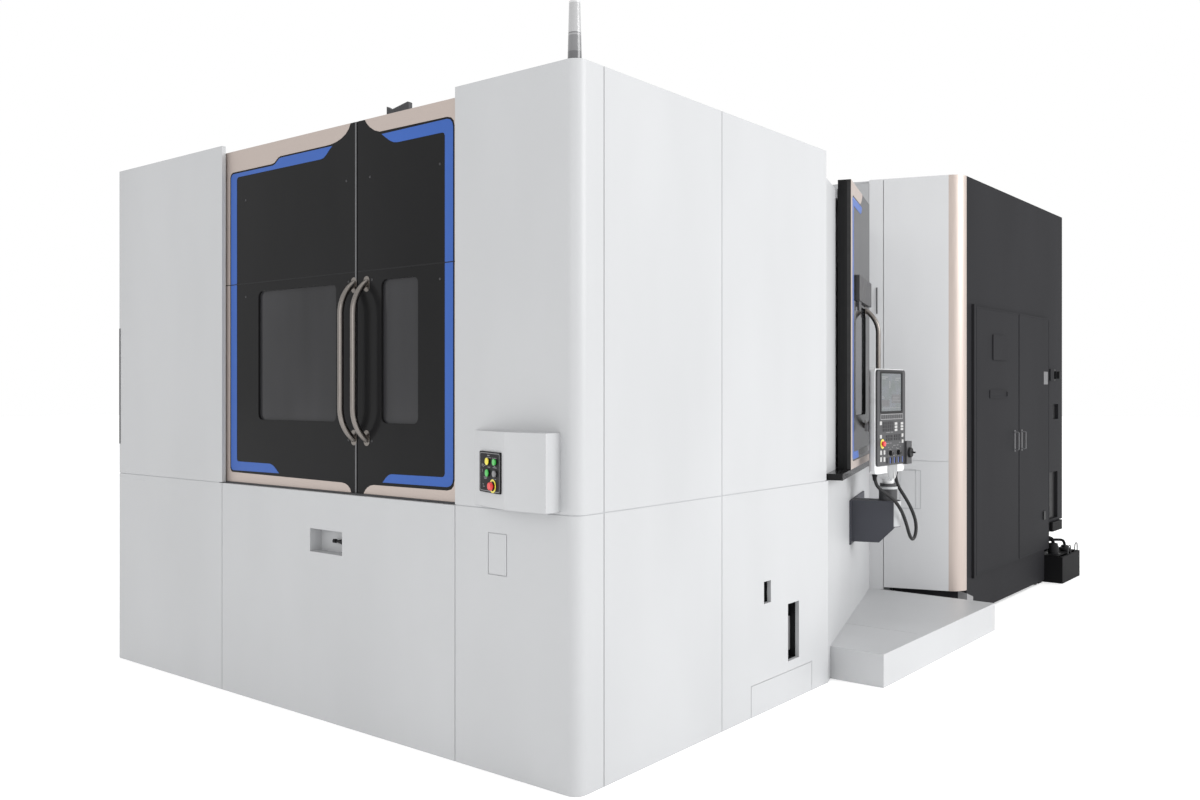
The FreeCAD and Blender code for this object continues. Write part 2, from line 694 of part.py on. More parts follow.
def side_leaf():
    panel = block((SIDE_DOOR_BACK, SIDE_DOOR_FACE), (SIDE_DOOR_NEAR, f"{SIDE_DOOR_NEAR} + side_door_width"),
                  ("side_door_bottom", "side_door_top"))
    glass_y = f"{SIDE_DOOR_NEAR} + side_glass_from"
    hole = block((f"{SIDE_DOOR_BACK} - 1", f"{SIDE_DOOR_FACE} + 1"),
                 (glass_y, f"{glass_y} + side_glass_width"),
                 ("glass_z", "glass_z + glass_height"))
    rebate = block((f"{SIDE_DOOR_BACK} - 1", f"{SIDE_DOOR_FACE} - glass_recess"),
                   (f"{glass_y} - glass_lap", f"{glass_y} + side_glass_width + glass_lap"),
                   ("glass_z - glass_lap", "glass_z + glass_height + glass_lap"))
    return cut(panel, rounded(hole, size("glass_round"), along("x")), rebate)


def side_pane():
    glass_y = f"{SIDE_DOOR_NEAR} + side_glass_from"
    return group(block((f"{SIDE_DOOR_FACE} - glass_recess - glass_thick", f"{SIDE_DOOR_FACE} - glass_recess"),
                       (f"{glass_y} - glass_lap + fit", f"{glass_y} + side_glass_width + glass_lap - fit"),
                       ("glass_z - glass_lap + fit", "glass_z + glass_height + glass_lap - fit")))


def side_handle():
    """The same handle as on the front doors, turned to face out of the operator wall."""
    bar = group(d_handle("0", "0"))
    bar.Placement = Placement(Vector(), Rotation(Vector(0, 0, 1), 90))
    bind(bar, Placement__Base__x=SIDE_DOOR_FACE, Placement__Base__y=f"{SIDE_DOOR_NEAR} + side_handle_from")
    return group(bar)


def step_platform():
    slab = block(("0 - 900", "step_reach"), ("step_front_y", "step_back_y"), ("0", "step_height"))
    behind_wall = turned(block((f"{WALL_OUT} - 3000", WALL_OUT), ("0", "9000"), ("0 - 1", "step_height + 1")))
    past_panel = turned(block((f"{WALL_OUT} - 3000", "9000"), (f"{WALL_TO} + 120", "9000"),
                              ("0 - 1", "step_height + 1")))
    tread = block(("0 - 900", "step_reach - 60"), ("step_back_y - 1350", "step_back_y - 1350 + seam"),
                  ("step_height - groove_depth", "step_height + 1"))
    return cut(slab, behind_wall, past_panel, tread)


def mid_shell():
    roof = block(("skin - body_width", "0"), ("setup_depth", f"{PANEL_END_Y} - rear_front_in"),
                 ("mid_height - skin", "mid_height"))
    outside = turned(block((f"{WALL_OUT} - upper_recess - skin - run_gap", "9000"), ("0", "9000"),
                           ("0", "mid_height + 1")))
    left = block(("0 - body_width", "skin - body_width"), ("setup_depth", f"{PANEL_END_Y} - rear_front_in"),
                 ("0", "mid_height"))
    return fuse(cut(roof, outside), left)


piece("signal_lamp", signal_lamp())
piece("wall_lower", slanted_lower(), "wall")
piece("wall_upper", slanted_upper(), "wall")
piece("wall_sill", wall_sill_bar(), "wall")
piece("side_door", side_leaf(), "wall")
piece("side_glass", side_pane(), "wall")
piece("side_handle", side_handle(), "wall")
piece("step_platform", step_platform())
piece("mid_shell", mid_shell())


# ---- rear block ----
def rear_panel():
    """Narrow strip and main panel on a common backing, with the seam and a small hatch outline."""
    face = (f"{WALL_TO} - 1", f"{WALL_TO} + groove_depth")
    strip = block((WALL_OUT, f"{WALL_OUT} + strip_width - seam"), (WALL_TO, f"{WALL_TO} + skin"),
                  ("step_height", "rear_height"))
    main = block((f"{WALL_OUT} + strip_width", PANEL_OUT), (WALL_TO, f"{WALL_TO} + skin"),
                 ("panel_bottom", "rear_height"))
    backing = block((WALL_OUT, PANEL_OUT), (f"{WALL_TO} + skin", f"{WALL_TO} + 2 * skin"),
                    ("panel_bottom", "rear_height"))
    seam_line = block((f"{WALL_OUT} + strip_width", f"{PANEL_OUT} + 1"), face,
                      ("rear_seam_z - seam / 2", "rear_seam_z + seam / 2"))
    x = f"{PANEL_OUT} - small_hatch_in - small_hatch_width"
    hatch = outline((x, f"{x} + small_hatch_width"), ("0", "0"),
                    ("small_hatch_z", "small_hatch_z + small_hatch_height"), "y", face)
    return cut(fuse(strip, main, backing), seam_line, hatch)


def quarter(radius, z_from, z_to):
    """Part of a round column between the rear panel and the cabinet side."""
    col = made("Part::Cylinder", "column")
    col.Placement = Placement(Vector(), Rotation(Vector(0, 0, 1), -1))
    return bind(col, Radius=radius, Height=f"({z_to}) - ({z_from})", Angle="90 - wall_angle",
                Placement__Base__x=f"0 - {TRIM_RADIUS}", Placement__Base__y=CABINET_Y,
                Placement__Base__z=z_from, Placement__Rotation__Angle="wall_angle - 90")


def corner_trim():
    return cut(quarter(TRIM_RADIUS, "panel_bottom", "rear_height"),
               quarter(f"{TRIM_RADIUS} - skin", "panel_bottom - 1", "rear_height + 1"))


def cabinet_box(y_from, y_to, z_from, z_to):
    """Closed casing with walls of the cover thickness."""
    outer = block(("0 - cabinet_depth", "0"), (y_from, y_to), (z_from, z_to))
    inner = block(("skin - cabinet_depth", "0 - skin"), (f"{y_from} + skin", f"{y_to} - skin"),
                  (f"{z_from} + skin", f"{z_to} - skin"))
    return outer, inner


def cabinet_shell():
    outer, inner = cabinet_box(CABINET_Y, "cabinet_end_y", "cabinet_bottom", "rear_height")
    doorway = block(("0 - skin - 1", "1"), ("cab_door_y + cab_door_lip", "cabinet_end_y - skin - 20"),
                    ("cab_door_z + cab_door_lip", "cab_door_top - cab_door_lip"))
    feet = [block((x, f"{x} + 90"), (y, f"{y} + 90"), ("0", "cabinet_bottom"))
            for x in ("0 - cabinet_depth", "0 - 100") for y in (f"{CABINET_Y} + 40", "cabinet_end_y - 130")]
    return fuse(cut(outer, inner, doorway), *feet, tail_cover())


def tail_cover():
    outer, inner = cabinet_box("cabinet_end_y", REAR_Y, "tail_bottom", "rear_height")
    vent = block(("0 - skin - 1", "1"), ("vent_y", "vent_y + vent_width"), ("vent_z", "vent_z + vent_height"))
    port = block(("0 - skin - 1", "1"), ("port_y", "port_y + port_width"), ("port_z", "port_z + port_height"))
    hub = rod("-x", "1", "knob_y", "knob_z", "breaker_stem + 2 * shaft_gap", "skin + 2")
    boss = block(("0", "boss_rise"), ("cab_door_end_y + 20", "cab_door_end_y + 20 + boss_size"),
                 ("knob_z - boss_size / 2", "knob_z + boss_size / 2"))
    return fuse(cut(outer, inner, vent, port, hub), boss)


def cabinet_door(y_from, y_to):
    panel = block(("run_gap", "cab_door_thick"), (y_from, y_to), ("cab_door_z", "cab_door_top"))
    doc.recompute()
    return rounded(panel, 6, lambda edge: along("z")(edge) and edge.CenterOfMass.x > 1)


def breaker_knob():
    stem = rod("x", "0 - skin", "knob_y", "knob_z", "breaker_stem", "skin + 6")
    dial = rod("x", "2", "knob_y", "knob_z", "knob_size", "knob_rise / 2")
    bar = block(("knob_rise / 2", "knob_rise + 8"), ("knob_y - 9", "knob_y + 9"),
                ("knob_z - knob_size / 2 + 4", "knob_z + knob_size / 2 - 4"))
    return fuse(stem, dial, bar)


def rear_shell():
    front_y = f"{PANEL_END_Y} - rear_front_in"
    roof_z = ("rear_height - skin", "rear_height")
    roof = block(("skin - body_width", "0"), (front_y, f"{REAR_Y} - skin"), roof_z)
    beyond = turned(block(("0 - 500", "9000"), ("0", f"{WALL_TO} + 2 * skin"), ("0", "rear_height + 1")))
    corner = block((f"{PANEL_END_X} - 150", "1"), (front_y, CABINET_Y), ("0", "rear_height + 1"))
    right = block(("0 - cabinet_depth", "1"), (CABINET_Y, f"{REAR_Y} + 1"), ("0", "rear_height + 1"))
    left = block(("0 - body_width", "skin - body_width"), (front_y, f"{REAR_Y}"), ("0", "rear_height"))
    back = block(("skin - body_width", "0 - cabinet_depth"), (f"{REAR_Y} - skin", REAR_Y),
                 ("0", "rear_height"))
    return fuse(cut(roof, beyond, corner, right), left, back, rear_bulkhead())


def rear_bulkhead():
    """Wall over the machining area roof, from the left side to the operator wall."""
    front_y = f"{PANEL_END_Y} - rear_front_in"
    wall = block(("skin - body_width", "0 - 600"), (front_y, f"{front_y} + skin"),
                 ("mid_height", "rear_height - skin"))
    beyond = turned(block((f"{WALL_OUT} - 2", "9000"), ("0", "9000"), ("0", "rear_height + 1")))
    return cut(wall, beyond)


def coolant_tank():
    outer = block(("0 - tank_in", "tank_reach"), ("cabinet_end_y", REAR_Y), ("0", "tank_height"))
    inner = block(("tank_wall - tank_in", "tank_reach - tank_wall"),
                  ("cabinet_end_y + tank_wall", f"{REAR_Y} - tank_wall"),
                  ("tank_wall", "tank_height + 1"))
    return cut(outer, inner)


piece("rear_panel", rear_panel(), "wall")
piece("corner_trim", corner_trim())
piece("cabinet_shell", cabinet_shell())
piece("cabinet_door_front", cabinet_door("cab_door_y", "cab_door_meet_y - 2"))
piece("cabinet_door_rear", cabinet_door("cab_door_meet_y + 2", "cab_door_end_y"))
piece("breaker_knob", breaker_knob())
piece("rear_shell", rear_shell())
piece("coolant_tank", coolant_tank())


# ---- pendant bracket and post ----
def pendant_bracket():
    along_near = f"{POST_ALONG} - arm_width / 2"
    plate = block((WALL_OUT, f"{WALL_OUT} + arm_plate_thick"),
                  (f"{along_near} - arm_plate_lap", f"{along_near} + arm_plate"),
                  ("arm_z - arm_plate_lap / 2", "arm_top"))
    box = block((WALL_OUT, f"{WALL_OUT} + arm_reach"), (along_near, f"{along_near} + arm_width"),
                ("arm_z", "arm_top"))
    doc.recompute()
    half_out = box.Shape.BoundBox.Center.x

    def lower_outer(edge):
        middle = edge.CenterOfMass
        return along("y")(edge) and middle.x > half_out and middle.z < size("arm_z") + 1
    bevel = made("Part::Chamfer", "bevel")
    bevel.Base = box
    wide = size("arm_chamfer")
    bevel.Edges = [(i, wide, wide) for i, edge in enumerate(box.Shape.Edges, start=1) if lower_outer(edge)]
    cap_z = "(arm_z + arm_chamfer + 10)"
    cap = rod("z", POST_OUT, POST_ALONG, cap_z, "arm_width - 4", f"arm_top - {cap_z}")
    return fuse(plate, bevel, cap)


def pendant_post():
    post = rod("z", POST_OUT, POST_ALONG, "arm_top", "post_size", "post_top - arm_top")
    ring = rod("z", POST_OUT, POST_ALONG, "post_top", "post_size - 14", "ring_top - post_top")
    pin = rod("z", POST_OUT, POST_ALONG, "ring_top", "pin_size", "neck_top - ring_top - 6")
    return fuse(post, ring, pin)


piece("pendant_bracket", pendant_bracket(), "wall")
piece("pendant_post", pendant_post(), "wall")


# ---- pendant ----
PENDANT_TOP = "pendant_z + pendant_height"
SHELL_X = ("pendant_face_x - face_thick - pendant_thick", "pendant_face_x - face_thick")
MPG_FACE = "pendant_face_x + mpg_rise"
KNOB_A = "pend_knob_y"
KNOB_B = "pend_knob_y + pend_knob_pitch"
WHEEL_Y = "mpg_y + 50"
WHEEL_Z = "mpg_z + mpg_height / 2"


def pendant_shell():
    neck = rod("z", "post_x", "post_y", "ring_top + run_gap", "neck_size",
               "pendant_z + 15 - ring_top - run_gap")
    pin_bore = rod("z", "post_x", "post_y", "ring_top", "pin_size + 2 * shaft_gap", "neck_top - ring_top")
    dome = rod("x", "post_x - 30", "post_y", "pendant_z + 22", "dome_size", "60")
    box = block(SHELL_X, ("pendant_y", "pendant_y + pendant_width"), ("pendant_z", PENDANT_TOP))
    doc.recompute()
    shell = rounded(box, 30, lambda edge: along("x")(edge) or (along("z")(edge) and
                    edge.CenterOfMass.x < size("pendant_face_x") - 40))
    return cut(fuse(shell, neck, dome), pin_bore)


def pendant_face():
    y = ("pendant_y + 14", "pendant_y + pendant_width - 14")
    plate = block((SHELL_X[1], "pendant_face_x"), y, ("pendant_z + face_foot", f"{PENDANT_TOP} - 6"))
    doc.recompute()
    shaped = rounded(plate, 26, along("x"))
    screen = block(("pendant_face_x - screen_deep", "pendant_face_x + 1"),
                   (f"{y[0]} + screen_in", f"{y[1]} - screen_in"),
                   ("screen_z", "screen_z + screen_height"))
    side_box = block((SHELL_X[1], MPG_FACE), ("mpg_y", "mpg_y + mpg_width"), ("mpg_z", "mpg_z + mpg_height"))
    bores = [rod("x", f"{SHELL_X[1]} - 1", at, z, f"{wide} + 2 * shaft_gap", "face_thick + 40")
             for at, z, wide in ((KNOB_A, "pend_knob_z", "knob_stem"), (KNOB_B, "pend_knob_z", "knob_stem"),
                                 ("pend_estop_y", "pend_estop_z", "estop_stem"),
                                 (WHEEL_Y, WHEEL_Z, "knob_stem"))]
    return cut(fuse(shaped, side_box), screen, *bores)


def dial(y, z, face, wide, rise):
    stem = rod("x", f"{face} - 12", y, z, "knob_stem", "14")
    return fuse(stem, rod("x", f"{face} + 1", y, z, wide, rise, f"{wide} * 0.9"))


def pendant_estop():
    stem = rod("x", "pendant_face_x - 8", "pend_estop_y", "pend_estop_z", "estop_stem", "8 + estop_rise / 2")
    head = rod("x", "pendant_face_x + estop_rise / 2", "pend_estop_y", "pend_estop_z", "estop_size",
               "estop_rise / 2", "estop_size * 0.8")
    return fuse(stem, head)


def handwheel():
    crank = rod("x", f"{MPG_FACE} + 10", f"{WHEEL_Y} + wheel_size / 2 - 13", WHEEL_Z, "12", "24")
    return fuse(dial(WHEEL_Y, WHEEL_Z, MPG_FACE, "wheel_size", "16"), crank)


piece("pendant_shell", pendant_shell())
piece("pendant_face", pendant_face())
piece("pendant_estop", pendant_estop())
piece("feed_knob", dial(KNOB_A, "pend_knob_z", "pendant_face_x", "pend_knob_size", "20"))
piece("speed_knob", dial(KNOB_B, "pend_knob_z", "pendant_face_x", "pend_knob_size", "20"))
piece("handwheel", handwheel())

# ---- pendant cord: a loop from the underside of the shell, round the post and back ----
cord_arc_share = 0.45  # of the shorter run at each corner, taken by the arc
cord_points = [
    (-100, 3340, 1235), (-100, 3340, 1172), (-62, 3378, 1112), (-8, 3448, 1060), (20, 3530, 965),
    (22, 3606, 860), (15, 3672, 778), (10, 3742, 742), (5, 3808, 778), (0, 3826, 862), (-20, 3790, 962),
    (-50, 3738, 1052), (-100, 3692, 1156), (-100, 3692, 1235),
]


def cord_solid():
    points = [Vector(*p) for p in cord_points]
    radius = size("cord_size") / 2
    edges, here, length, tightest = [], points[0], 0.0, float("inf")
    for before, corner, after in zip(points, points[1:], points[2:]):
        back, on = (before - corner).normalize(), (after - corner).normalize()
        half_turn = (pi - back.getAngle(on)) / 2
        run = min((before - corner).Length, (after - corner).Length)
        tangent = cord_arc_share * run
        bend = tangent / tan(half_turn)
        start, end = corner + back * tangent, corner + on * tangent
        middle = (back + on).normalize()
        reach = (tangent ** 2 + bend ** 2) ** 0.5 - bend
        arc = Part.Arc(start, corner + middle * reach, end).toShape()
        edges += [Part.LineSegment(here, start).toShape(), arc]
        length += (start - here).Length + arc.Length
        here = end
        tightest = min(tightest, bend)
    edges.append(Part.LineSegment(here, points[-1]).toShape())
    length += (points[-1] - here).Length
    path = Part.Wire(edges)
    section = Part.Wire(Part.makeCircle(radius, points[0], points[1] - points[0]))
    tube = path.makePipeShell([section], True, False)
    share = tube.Volume / (pi * radius ** 2 * length)
    print(f"cord: {length:.1f} mm long, tightest bend {tightest:.1f} mm, volume share {share:.3f}")
    return tube


cord = doc.addObject("Part::Feature", "cord")
cord.Shape = cord_solid()
piece("pendant_cord", cord)

# ---- machine inside ----
BED_X = ("centre_x - bed_width / 2", "centre_x + bed_width / 2")
GROOVE_Z = "pallet_z + pallet_groove_z"
RAIL_TOP = "bed_height + rail_height"


def cast_bed():
    front = block(BED_X, ("skin", "cross_front_y"), ("0", "bed_height"))
    cross = block(("centre_x - cross_half", "centre_x + cross_half"), ("cross_front_y", "cross_back_y"),
                  ("0", "bed_height"))
    setup_post = rod("z", "centre_x", "setup_y", "bed_height", "table_size - 160",
                     "pallet_z - run_gap - bed_height")
    changer = rod("z", "centre_x", "partition_y", "bed_height", "changer_post",
                  f"{GROOVE_Z} - hub_drop - bed_height")
    trough = block(("centre_x - 150", "centre_x + 150"), ("table_y - 500", "cross_front_y + 1"),
                   ("bed_height - 160", "bed_height + 1"))
    return fuse(cut(fuse(front, cross, setup_post, changer), trough), *guide_ways(), chip_trough())


def guide_ways():
    up = ("bed_height", RAIL_TOP)
    table = [block((f"centre_x + {side} * rail_half - rail_width / 2",
                    f"centre_x + {side} * rail_half + rail_width / 2"),
                   ("table_y - 520", "cross_front_y - 10"), up) for side in (-1, 1)]
    column = [block(("centre_x - cross_half + 20", "centre_x + cross_half - 20"),
                    (y, f"{y} + rail_width"), up)
              for y in ("column_front_y + 60", "column_front_y + column_length - 120")]
    return table + column


def chip_trough():
    x = "centre_x + bed_width / 2"
    trough = block((x, f"{x} + 300"), ("table_y - 700", "cross_front_y - 120"), ("0", "320"))
    inside = block((f"{x} + 8", f"{x} + 292"), ("table_y - 692", "cross_front_y - 128"), ("60", "330"))
    return cut(trough, inside)


def table_saddle():
    body = block(("centre_x - saddle_width / 2", "centre_x + saddle_width / 2"),
                 ("table_y - saddle_length / 2", "table_y + saddle_length / 2"),
                 (f"{RAIL_TOP} + run_gap", f"{RAIL_TOP} + run_gap + saddle_height"))
    return body


def rotary_table():
    foot = f"{RAIL_TOP} + saddle_height + 2 * run_gap"
    return group(rod("z", "centre_x", "table_y", foot, "table_size", f"pallet_z - ({foot})"))


def pallet(y, groove_side):
    half = "pallet_size / 2"
    plate = block((f"centre_x - {half}", f"centre_x + {half}"), (f"{y} - {half}", f"{y} + {half}"),
                  ("pallet_z", "pallet_z + pallet_thick"))
    edge = f"{y} + {groove_side} * {half}"
    near, far = ("groove_in", "1") if groove_side == "1" else ("1", "groove_in")
    groove_y = (f"{edge} - {near}", f"{edge} + {far}")
    groove = block((f"centre_x - {half} - 1", f"centre_x + {half} + 1"), groove_y,
                   (GROOVE_Z, f"{GROOVE_Z} + groove_tall"))
    slots = [block((f"centre_x + {i} * pallet_size / 6 - 9", f"centre_x + {i} * pallet_size / 6 + 9"),
                   (f"{y} - {half} - 1", f"{y} + {half} + 1"),
                   ("pallet_z + pallet_thick - 24", "pallet_z + pallet_thick + 1")) for i in range(-2, 3)]
    return cut(plate, groove, *slots)


def changer_hub():
    return group(rod("z", "centre_x", "partition_y", f"{GROOVE_Z} - hub_drop + run_gap",
                     "changer_post - 60", "hub_tall"))


def changer_arm():
    z = (f"{GROOVE_Z} + 10", f"{GROOVE_Z} + 10 + blade_thick")
    blade = block(("centre_x - arm_tip", "centre_x + arm_tip"),
                  ("partition_y - arm_half", "partition_y + arm_half"), z)
    boss = rod("z", "centre_x", "partition_y", f"{GROOVE_Z} - 10 + 2 * run_gap", "changer_post - 100", "46")
    return fuse(blade, boss)


def partition():
    wall = block(("skin - body_width", "0 - skin"), ("partition_y", "partition_y + skin"),
                 (f"{GROOVE_Z} + groove_tall + 30", "roof_z - skin"))
    passage = block(("centre_x - passage_half", "centre_x + passage_half"),
                    ("partition_y - 1", "partition_y + skin + 1"),
                    (f"{GROOVE_Z} + 20", "passage_top"))
    return cut(wall, passage)


def shutter():
    y = "partition_y + skin + run_gap"
    return block(("centre_x - passage_half - 30", "centre_x + passage_half + 30"),
                 (y, f"{y} + shutter_thick"),
                 (f"{GROOVE_Z} + groove_tall + 30", "passage_top + 30"))


def moving_column():
    y = ("column_front_y", "column_front_y + column_length")
    foot = block(("centre_x - column_half - 80", "centre_x + column_half + 80"), y,
                 (f"{RAIL_TOP} + run_gap", f"{RAIL_TOP} + run_gap + column_foot"))
    frame = block(("centre_x - column_half", "centre_x + column_half"), y,
                  (f"{RAIL_TOP} + column_foot", "column_top"))
    slot_x = "centre_x - column_half + column_leg"
    opening = block((slot_x, "centre_x + column_half - column_leg"), (f"{y[0]} - 1", f"{y[1]} + 1"),
                    (f"{RAIL_TOP} + column_foot + 60", "column_top - 160"))
    return cut(fuse(foot, frame), opening)


def spindle_head():
    slide = "(column_half - column_leg)"
    body = block((f"centre_x - {slide} + run_gap", f"centre_x + {slide} - run_gap"),
                 ("head_front_y", "head_front_y + head_length"),
                 ("spindle_z - head_height / 2", "spindle_z + head_height / 2"))
    bore = rod("y", "centre_x", "head_front_y - 1", "spindle_z", "spindle_size + 2 * shaft_gap",
               "head_length + 2")
    return cut(body, bore)


def spindle():
    shaft = rod("y", "centre_x", "head_front_y", "spindle_z", "spindle_size", "head_length - 20")
    nose = rod("y", "centre_x", "head_front_y - nose_length", "spindle_z", "nose_size", "nose_length - 0.5")
    link = rod("y", "centre_x", "head_front_y - 2", "spindle_z", "spindle_size - 10", "4")
    taper = rod("y", "centre_x", "head_front_y - nose_length - 1", "spindle_z", "taper_bore", "120",
                "taper_bore * 0.55")
    return cut(fuse(shaft, nose, link), taper)


def magazine_frame():
    post = block(("wheel_x - 180", "wheel_x - 60"), ("wheel_y - 90", "wheel_y + 90"), ("0", "wheel_z + 90"))
    foot = block(("wheel_x - 330", "centre_x - cross_half"), ("wheel_y - 420", "wheel_y + 420"), ("0", "60"))
    axle = rod("x", "wheel_x - 61", "wheel_y", "wheel_z", "80", "wheel_thick + 61 + 30")
    return fuse(post, foot, axle)


def magazine_wheel():
    wheel = rod("x", "wheel_x", "wheel_y", "wheel_z", "2 * wheel_radius", "wheel_thick")
    bore = rod("x", "wheel_x - 1", "wheel_y", "wheel_z", "80 + 2 * shaft_gap", "wheel_thick + 2")
    lighten = [rod("x", "wheel_x - 1", f"wheel_y + wheel_radius * 0.45 * cos({i * 60})",
                   f"wheel_z + wheel_radius * 0.45 * sin({i * 60})", "wheel_radius * 0.3", "wheel_thick + 2")
               for i in range(6)]
    seats = [rod("x", "wheel_x - 1", *tool_seat(i), "tool_size * 0.6 + 2 * shaft_gap", "wheel_thick + 2")
             for i in range(TOOL_COUNT)]
    return cut(wheel, bore, *lighten, *seats)


def tool_seat(i):
    turn = i * 360 / TOOL_COUNT
    return (f"wheel_y + (wheel_radius - tool_size) * cos({turn})",
            f"wheel_z + (wheel_radius - tool_size) * sin({turn})")


def tools():
    sets = []
    for i in range(TOOL_COUNT):
        y, z = tool_seat(i)
        shank = rod("x", "wheel_x + wheel_thick - 50", y, z, "tool_size * 0.6", "60")
        collar = rod("x", "wheel_x + wheel_thick + run_gap", y, z, "tool_size", "30")
        bit = rod("x", "wheel_x + wheel_thick + 29", y, z, f"tool_size * {0.25 + 0.1 * (i % 4)}",
                  f"tool_length - {30 * (i % 3)}")
        sets.append(fuse(shank, collar, bit))
    return group(*sets)


piece("cast_bed", cast_bed())
piece("table_saddle", table_saddle())
piece("rotary_table", rotary_table())
piece("pallet_machining", pallet("table_y", "-1"))
piece("pallet_setup", pallet("setup_y", "1"))
piece("changer_hub", changer_hub())
piece("changer_arm", changer_arm())
piece("partition", partition())
piece("shutter", shutter())
piece("moving_column", moving_column())
piece("spindle_head", spindle_head())
piece("spindle", spindle())
piece("magazine_frame", magazine_frame())
piece("magazine_wheel", magazine_wheel())
piece("magazine_tools", tools())

doc.recompute()
for obj in doc.Objects:
    if "Invalid" in obj.State or "Error" in obj.State:
        raise RuntimeError(f"{obj.Name} ({obj.Label}) did not compute: {obj.getStatusString()}")
for label, obj in pieces.items():
    if obj.Shape.isNull() or not obj.Shape.isValid() or not obj.Shape.Solids:
        raise RuntimeError(f"{label} has no valid solid")

os.makedirs("parts", exist_ok=True)
for label, obj in pieces.items():
    obj.Shape.exportStep(f"parts/{label}.step")
box = Part.makeCompound([obj.Shape for label, obj in pieces.items() if label != "pendant_cord"]).BoundBox
print(f"{len(pieces)} pieces, {box}")
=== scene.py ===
import math
import bmesh
import bpy
from mathutils import Matrix, Vector


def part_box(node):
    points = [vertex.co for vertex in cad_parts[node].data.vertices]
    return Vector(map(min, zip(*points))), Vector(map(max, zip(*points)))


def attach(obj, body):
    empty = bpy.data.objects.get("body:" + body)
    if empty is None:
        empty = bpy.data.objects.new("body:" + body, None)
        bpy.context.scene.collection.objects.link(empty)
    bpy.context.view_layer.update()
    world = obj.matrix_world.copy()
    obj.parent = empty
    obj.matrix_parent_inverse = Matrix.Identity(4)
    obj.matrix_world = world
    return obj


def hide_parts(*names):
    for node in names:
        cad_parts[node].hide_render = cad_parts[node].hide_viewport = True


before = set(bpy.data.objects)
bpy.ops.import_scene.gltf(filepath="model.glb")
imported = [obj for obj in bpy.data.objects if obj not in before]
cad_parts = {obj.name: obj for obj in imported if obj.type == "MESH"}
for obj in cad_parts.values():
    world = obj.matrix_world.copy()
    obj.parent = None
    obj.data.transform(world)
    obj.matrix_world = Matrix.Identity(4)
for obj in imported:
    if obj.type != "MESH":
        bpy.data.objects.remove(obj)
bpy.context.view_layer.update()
mm = 0.001
wallTurn = math.radians(18)
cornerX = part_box("side_lower_cover")[1].x      # the set-up block's front right corner
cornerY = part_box("front_apron")[0].y


def at(x, y, z):      # millimetres from that corner, on the floor
    return Vector((cornerX + x * mm, cornerY + y * mm, z * mm))


def atWall(out, along, z):      # the same along the slanted operator wall
    c, s = math.cos(wallTurn), math.sin(wallTurn)
    return at(out * c - along * s, out * s + along * c, z)


def boardAt(origin, right, up=(0, 0, 1)):      # a drawing board on a face: x right, y up, z out
    right, up = Vector(right).normalized(), Vector(up).normalized()
    turn = Matrix((right, up, right.cross(up))).transposed().to_4x4()
    return Matrix.Translation(origin) @ turn


# finishes
def newFinish(name, colour, rough, metal=0.0, shine=0.5):
    mat = bpy.data.materials.new(name)
    mat.use_nodes = True
    shader = mat.node_tree.nodes["Principled BSDF"]
    shader.inputs["Base Color"].default_value = (*colour, 1)
    shader.inputs["Roughness"].default_value = rough
    shader.inputs["Metallic"].default_value = metal
    shader.inputs["Specular IOR Level"].default_value = shine
    return mat, shader


def addNode(mat, kind, **values):
    node = mat.node_tree.nodes.new(kind)
    for key, value in values.items():
        if key in node.inputs:
            node.inputs[key].default_value = value
        else:
            setattr(node, key, value)
    return node


def join(mat, fromSocket, toSocket):
    mat.node_tree.links.new(fromSocket, toSocket)


def grainSource(mat, scale, stretch=(1, 1, 1), detail=4.0, kind="ShaderNodeTexNoise"):
    place = addNode(mat, "ShaderNodeTexCoord")
    fit = addNode(mat, "ShaderNodeMapping")
    fit.inputs["Scale"].default_value = stretch
    grain = addNode(mat, kind)
    grain.inputs["Scale"].default_value = scale
    if kind == "ShaderNodeTexNoise":
        grain.inputs["Detail"].default_value = detail
    join(mat, place.outputs["Object"], fit.inputs["Vector"])
    join(mat, fit.outputs["Vector"], grain.inputs["Vector"])
    return grain


def shadeColour(mat, shader, source, dark, light, low=0.35, high=0.65):
    ramp = addNode(mat, "ShaderNodeValToRGB")
    ramp.color_ramp.elements[0].position = low
    ramp.color_ramp.elements[1].position = high
    ramp.color_ramp.elements[0].color = (*dark, 1)
    ramp.color_ramp.elements[1].color = (*light, 1)
    join(mat, source, ramp.inputs["Fac"])
    join(mat, ramp.outputs["Color"], shader.inputs["Base Color"])
    return ramp


def shadeRough(mat, shader, source, low, high):
    span = addNode(mat, "ShaderNodeMapRange")
    span.inputs["From Min"].default_value = 0.3
    span.inputs["From Max"].default_value = 0.7
    span.inputs["To Min"].default_value = low
    span.inputs["To Max"].default_value = high
    join(mat, source, span.inputs["Value"])
    join(mat, span.outputs["Result"], shader.inputs["Roughness"])


def raiseGrain(mat, shader, source, strength, distance):
    bump = addNode(mat, "ShaderNodeBump")
    bump.inputs["Strength"].default_value = strength
    bump.inputs["Distance"].default_value = distance
    join(mat, source, bump.inputs["Height"])
    join(mat, bump.outputs["Normal"], shader.inputs["Normal"])


def coatedSheet(name, colour, rough, spread=0.03, peel=450, depth=0.0002, gloss=0.0, shine=0.5):
    mat, shader = newFinish(name, colour, rough, shine=shine)
    broad = grainSource(mat, 1.3, (1, 1, 0.35), 3.0)
    dark = [c * (1 - spread) for c in colour]
    light = [min(1.0, c * (1 + spread)) for c in colour]
    shadeColour(mat, shader, broad.outputs["Fac"], dark, light)
    fine = grainSource(mat, peel, detail=2.0)
    shadeRough(mat, shader, fine.outputs["Fac"], rough - 0.05, rough + 0.05)
    raiseGrain(mat, shader, fine.outputs["Fac"], 0.12, depth)
    if gloss:
        shader.inputs["Coat Weight"].default_value = gloss
        shader.inputs["Coat Roughness"].default_value = 0.08
    return mat


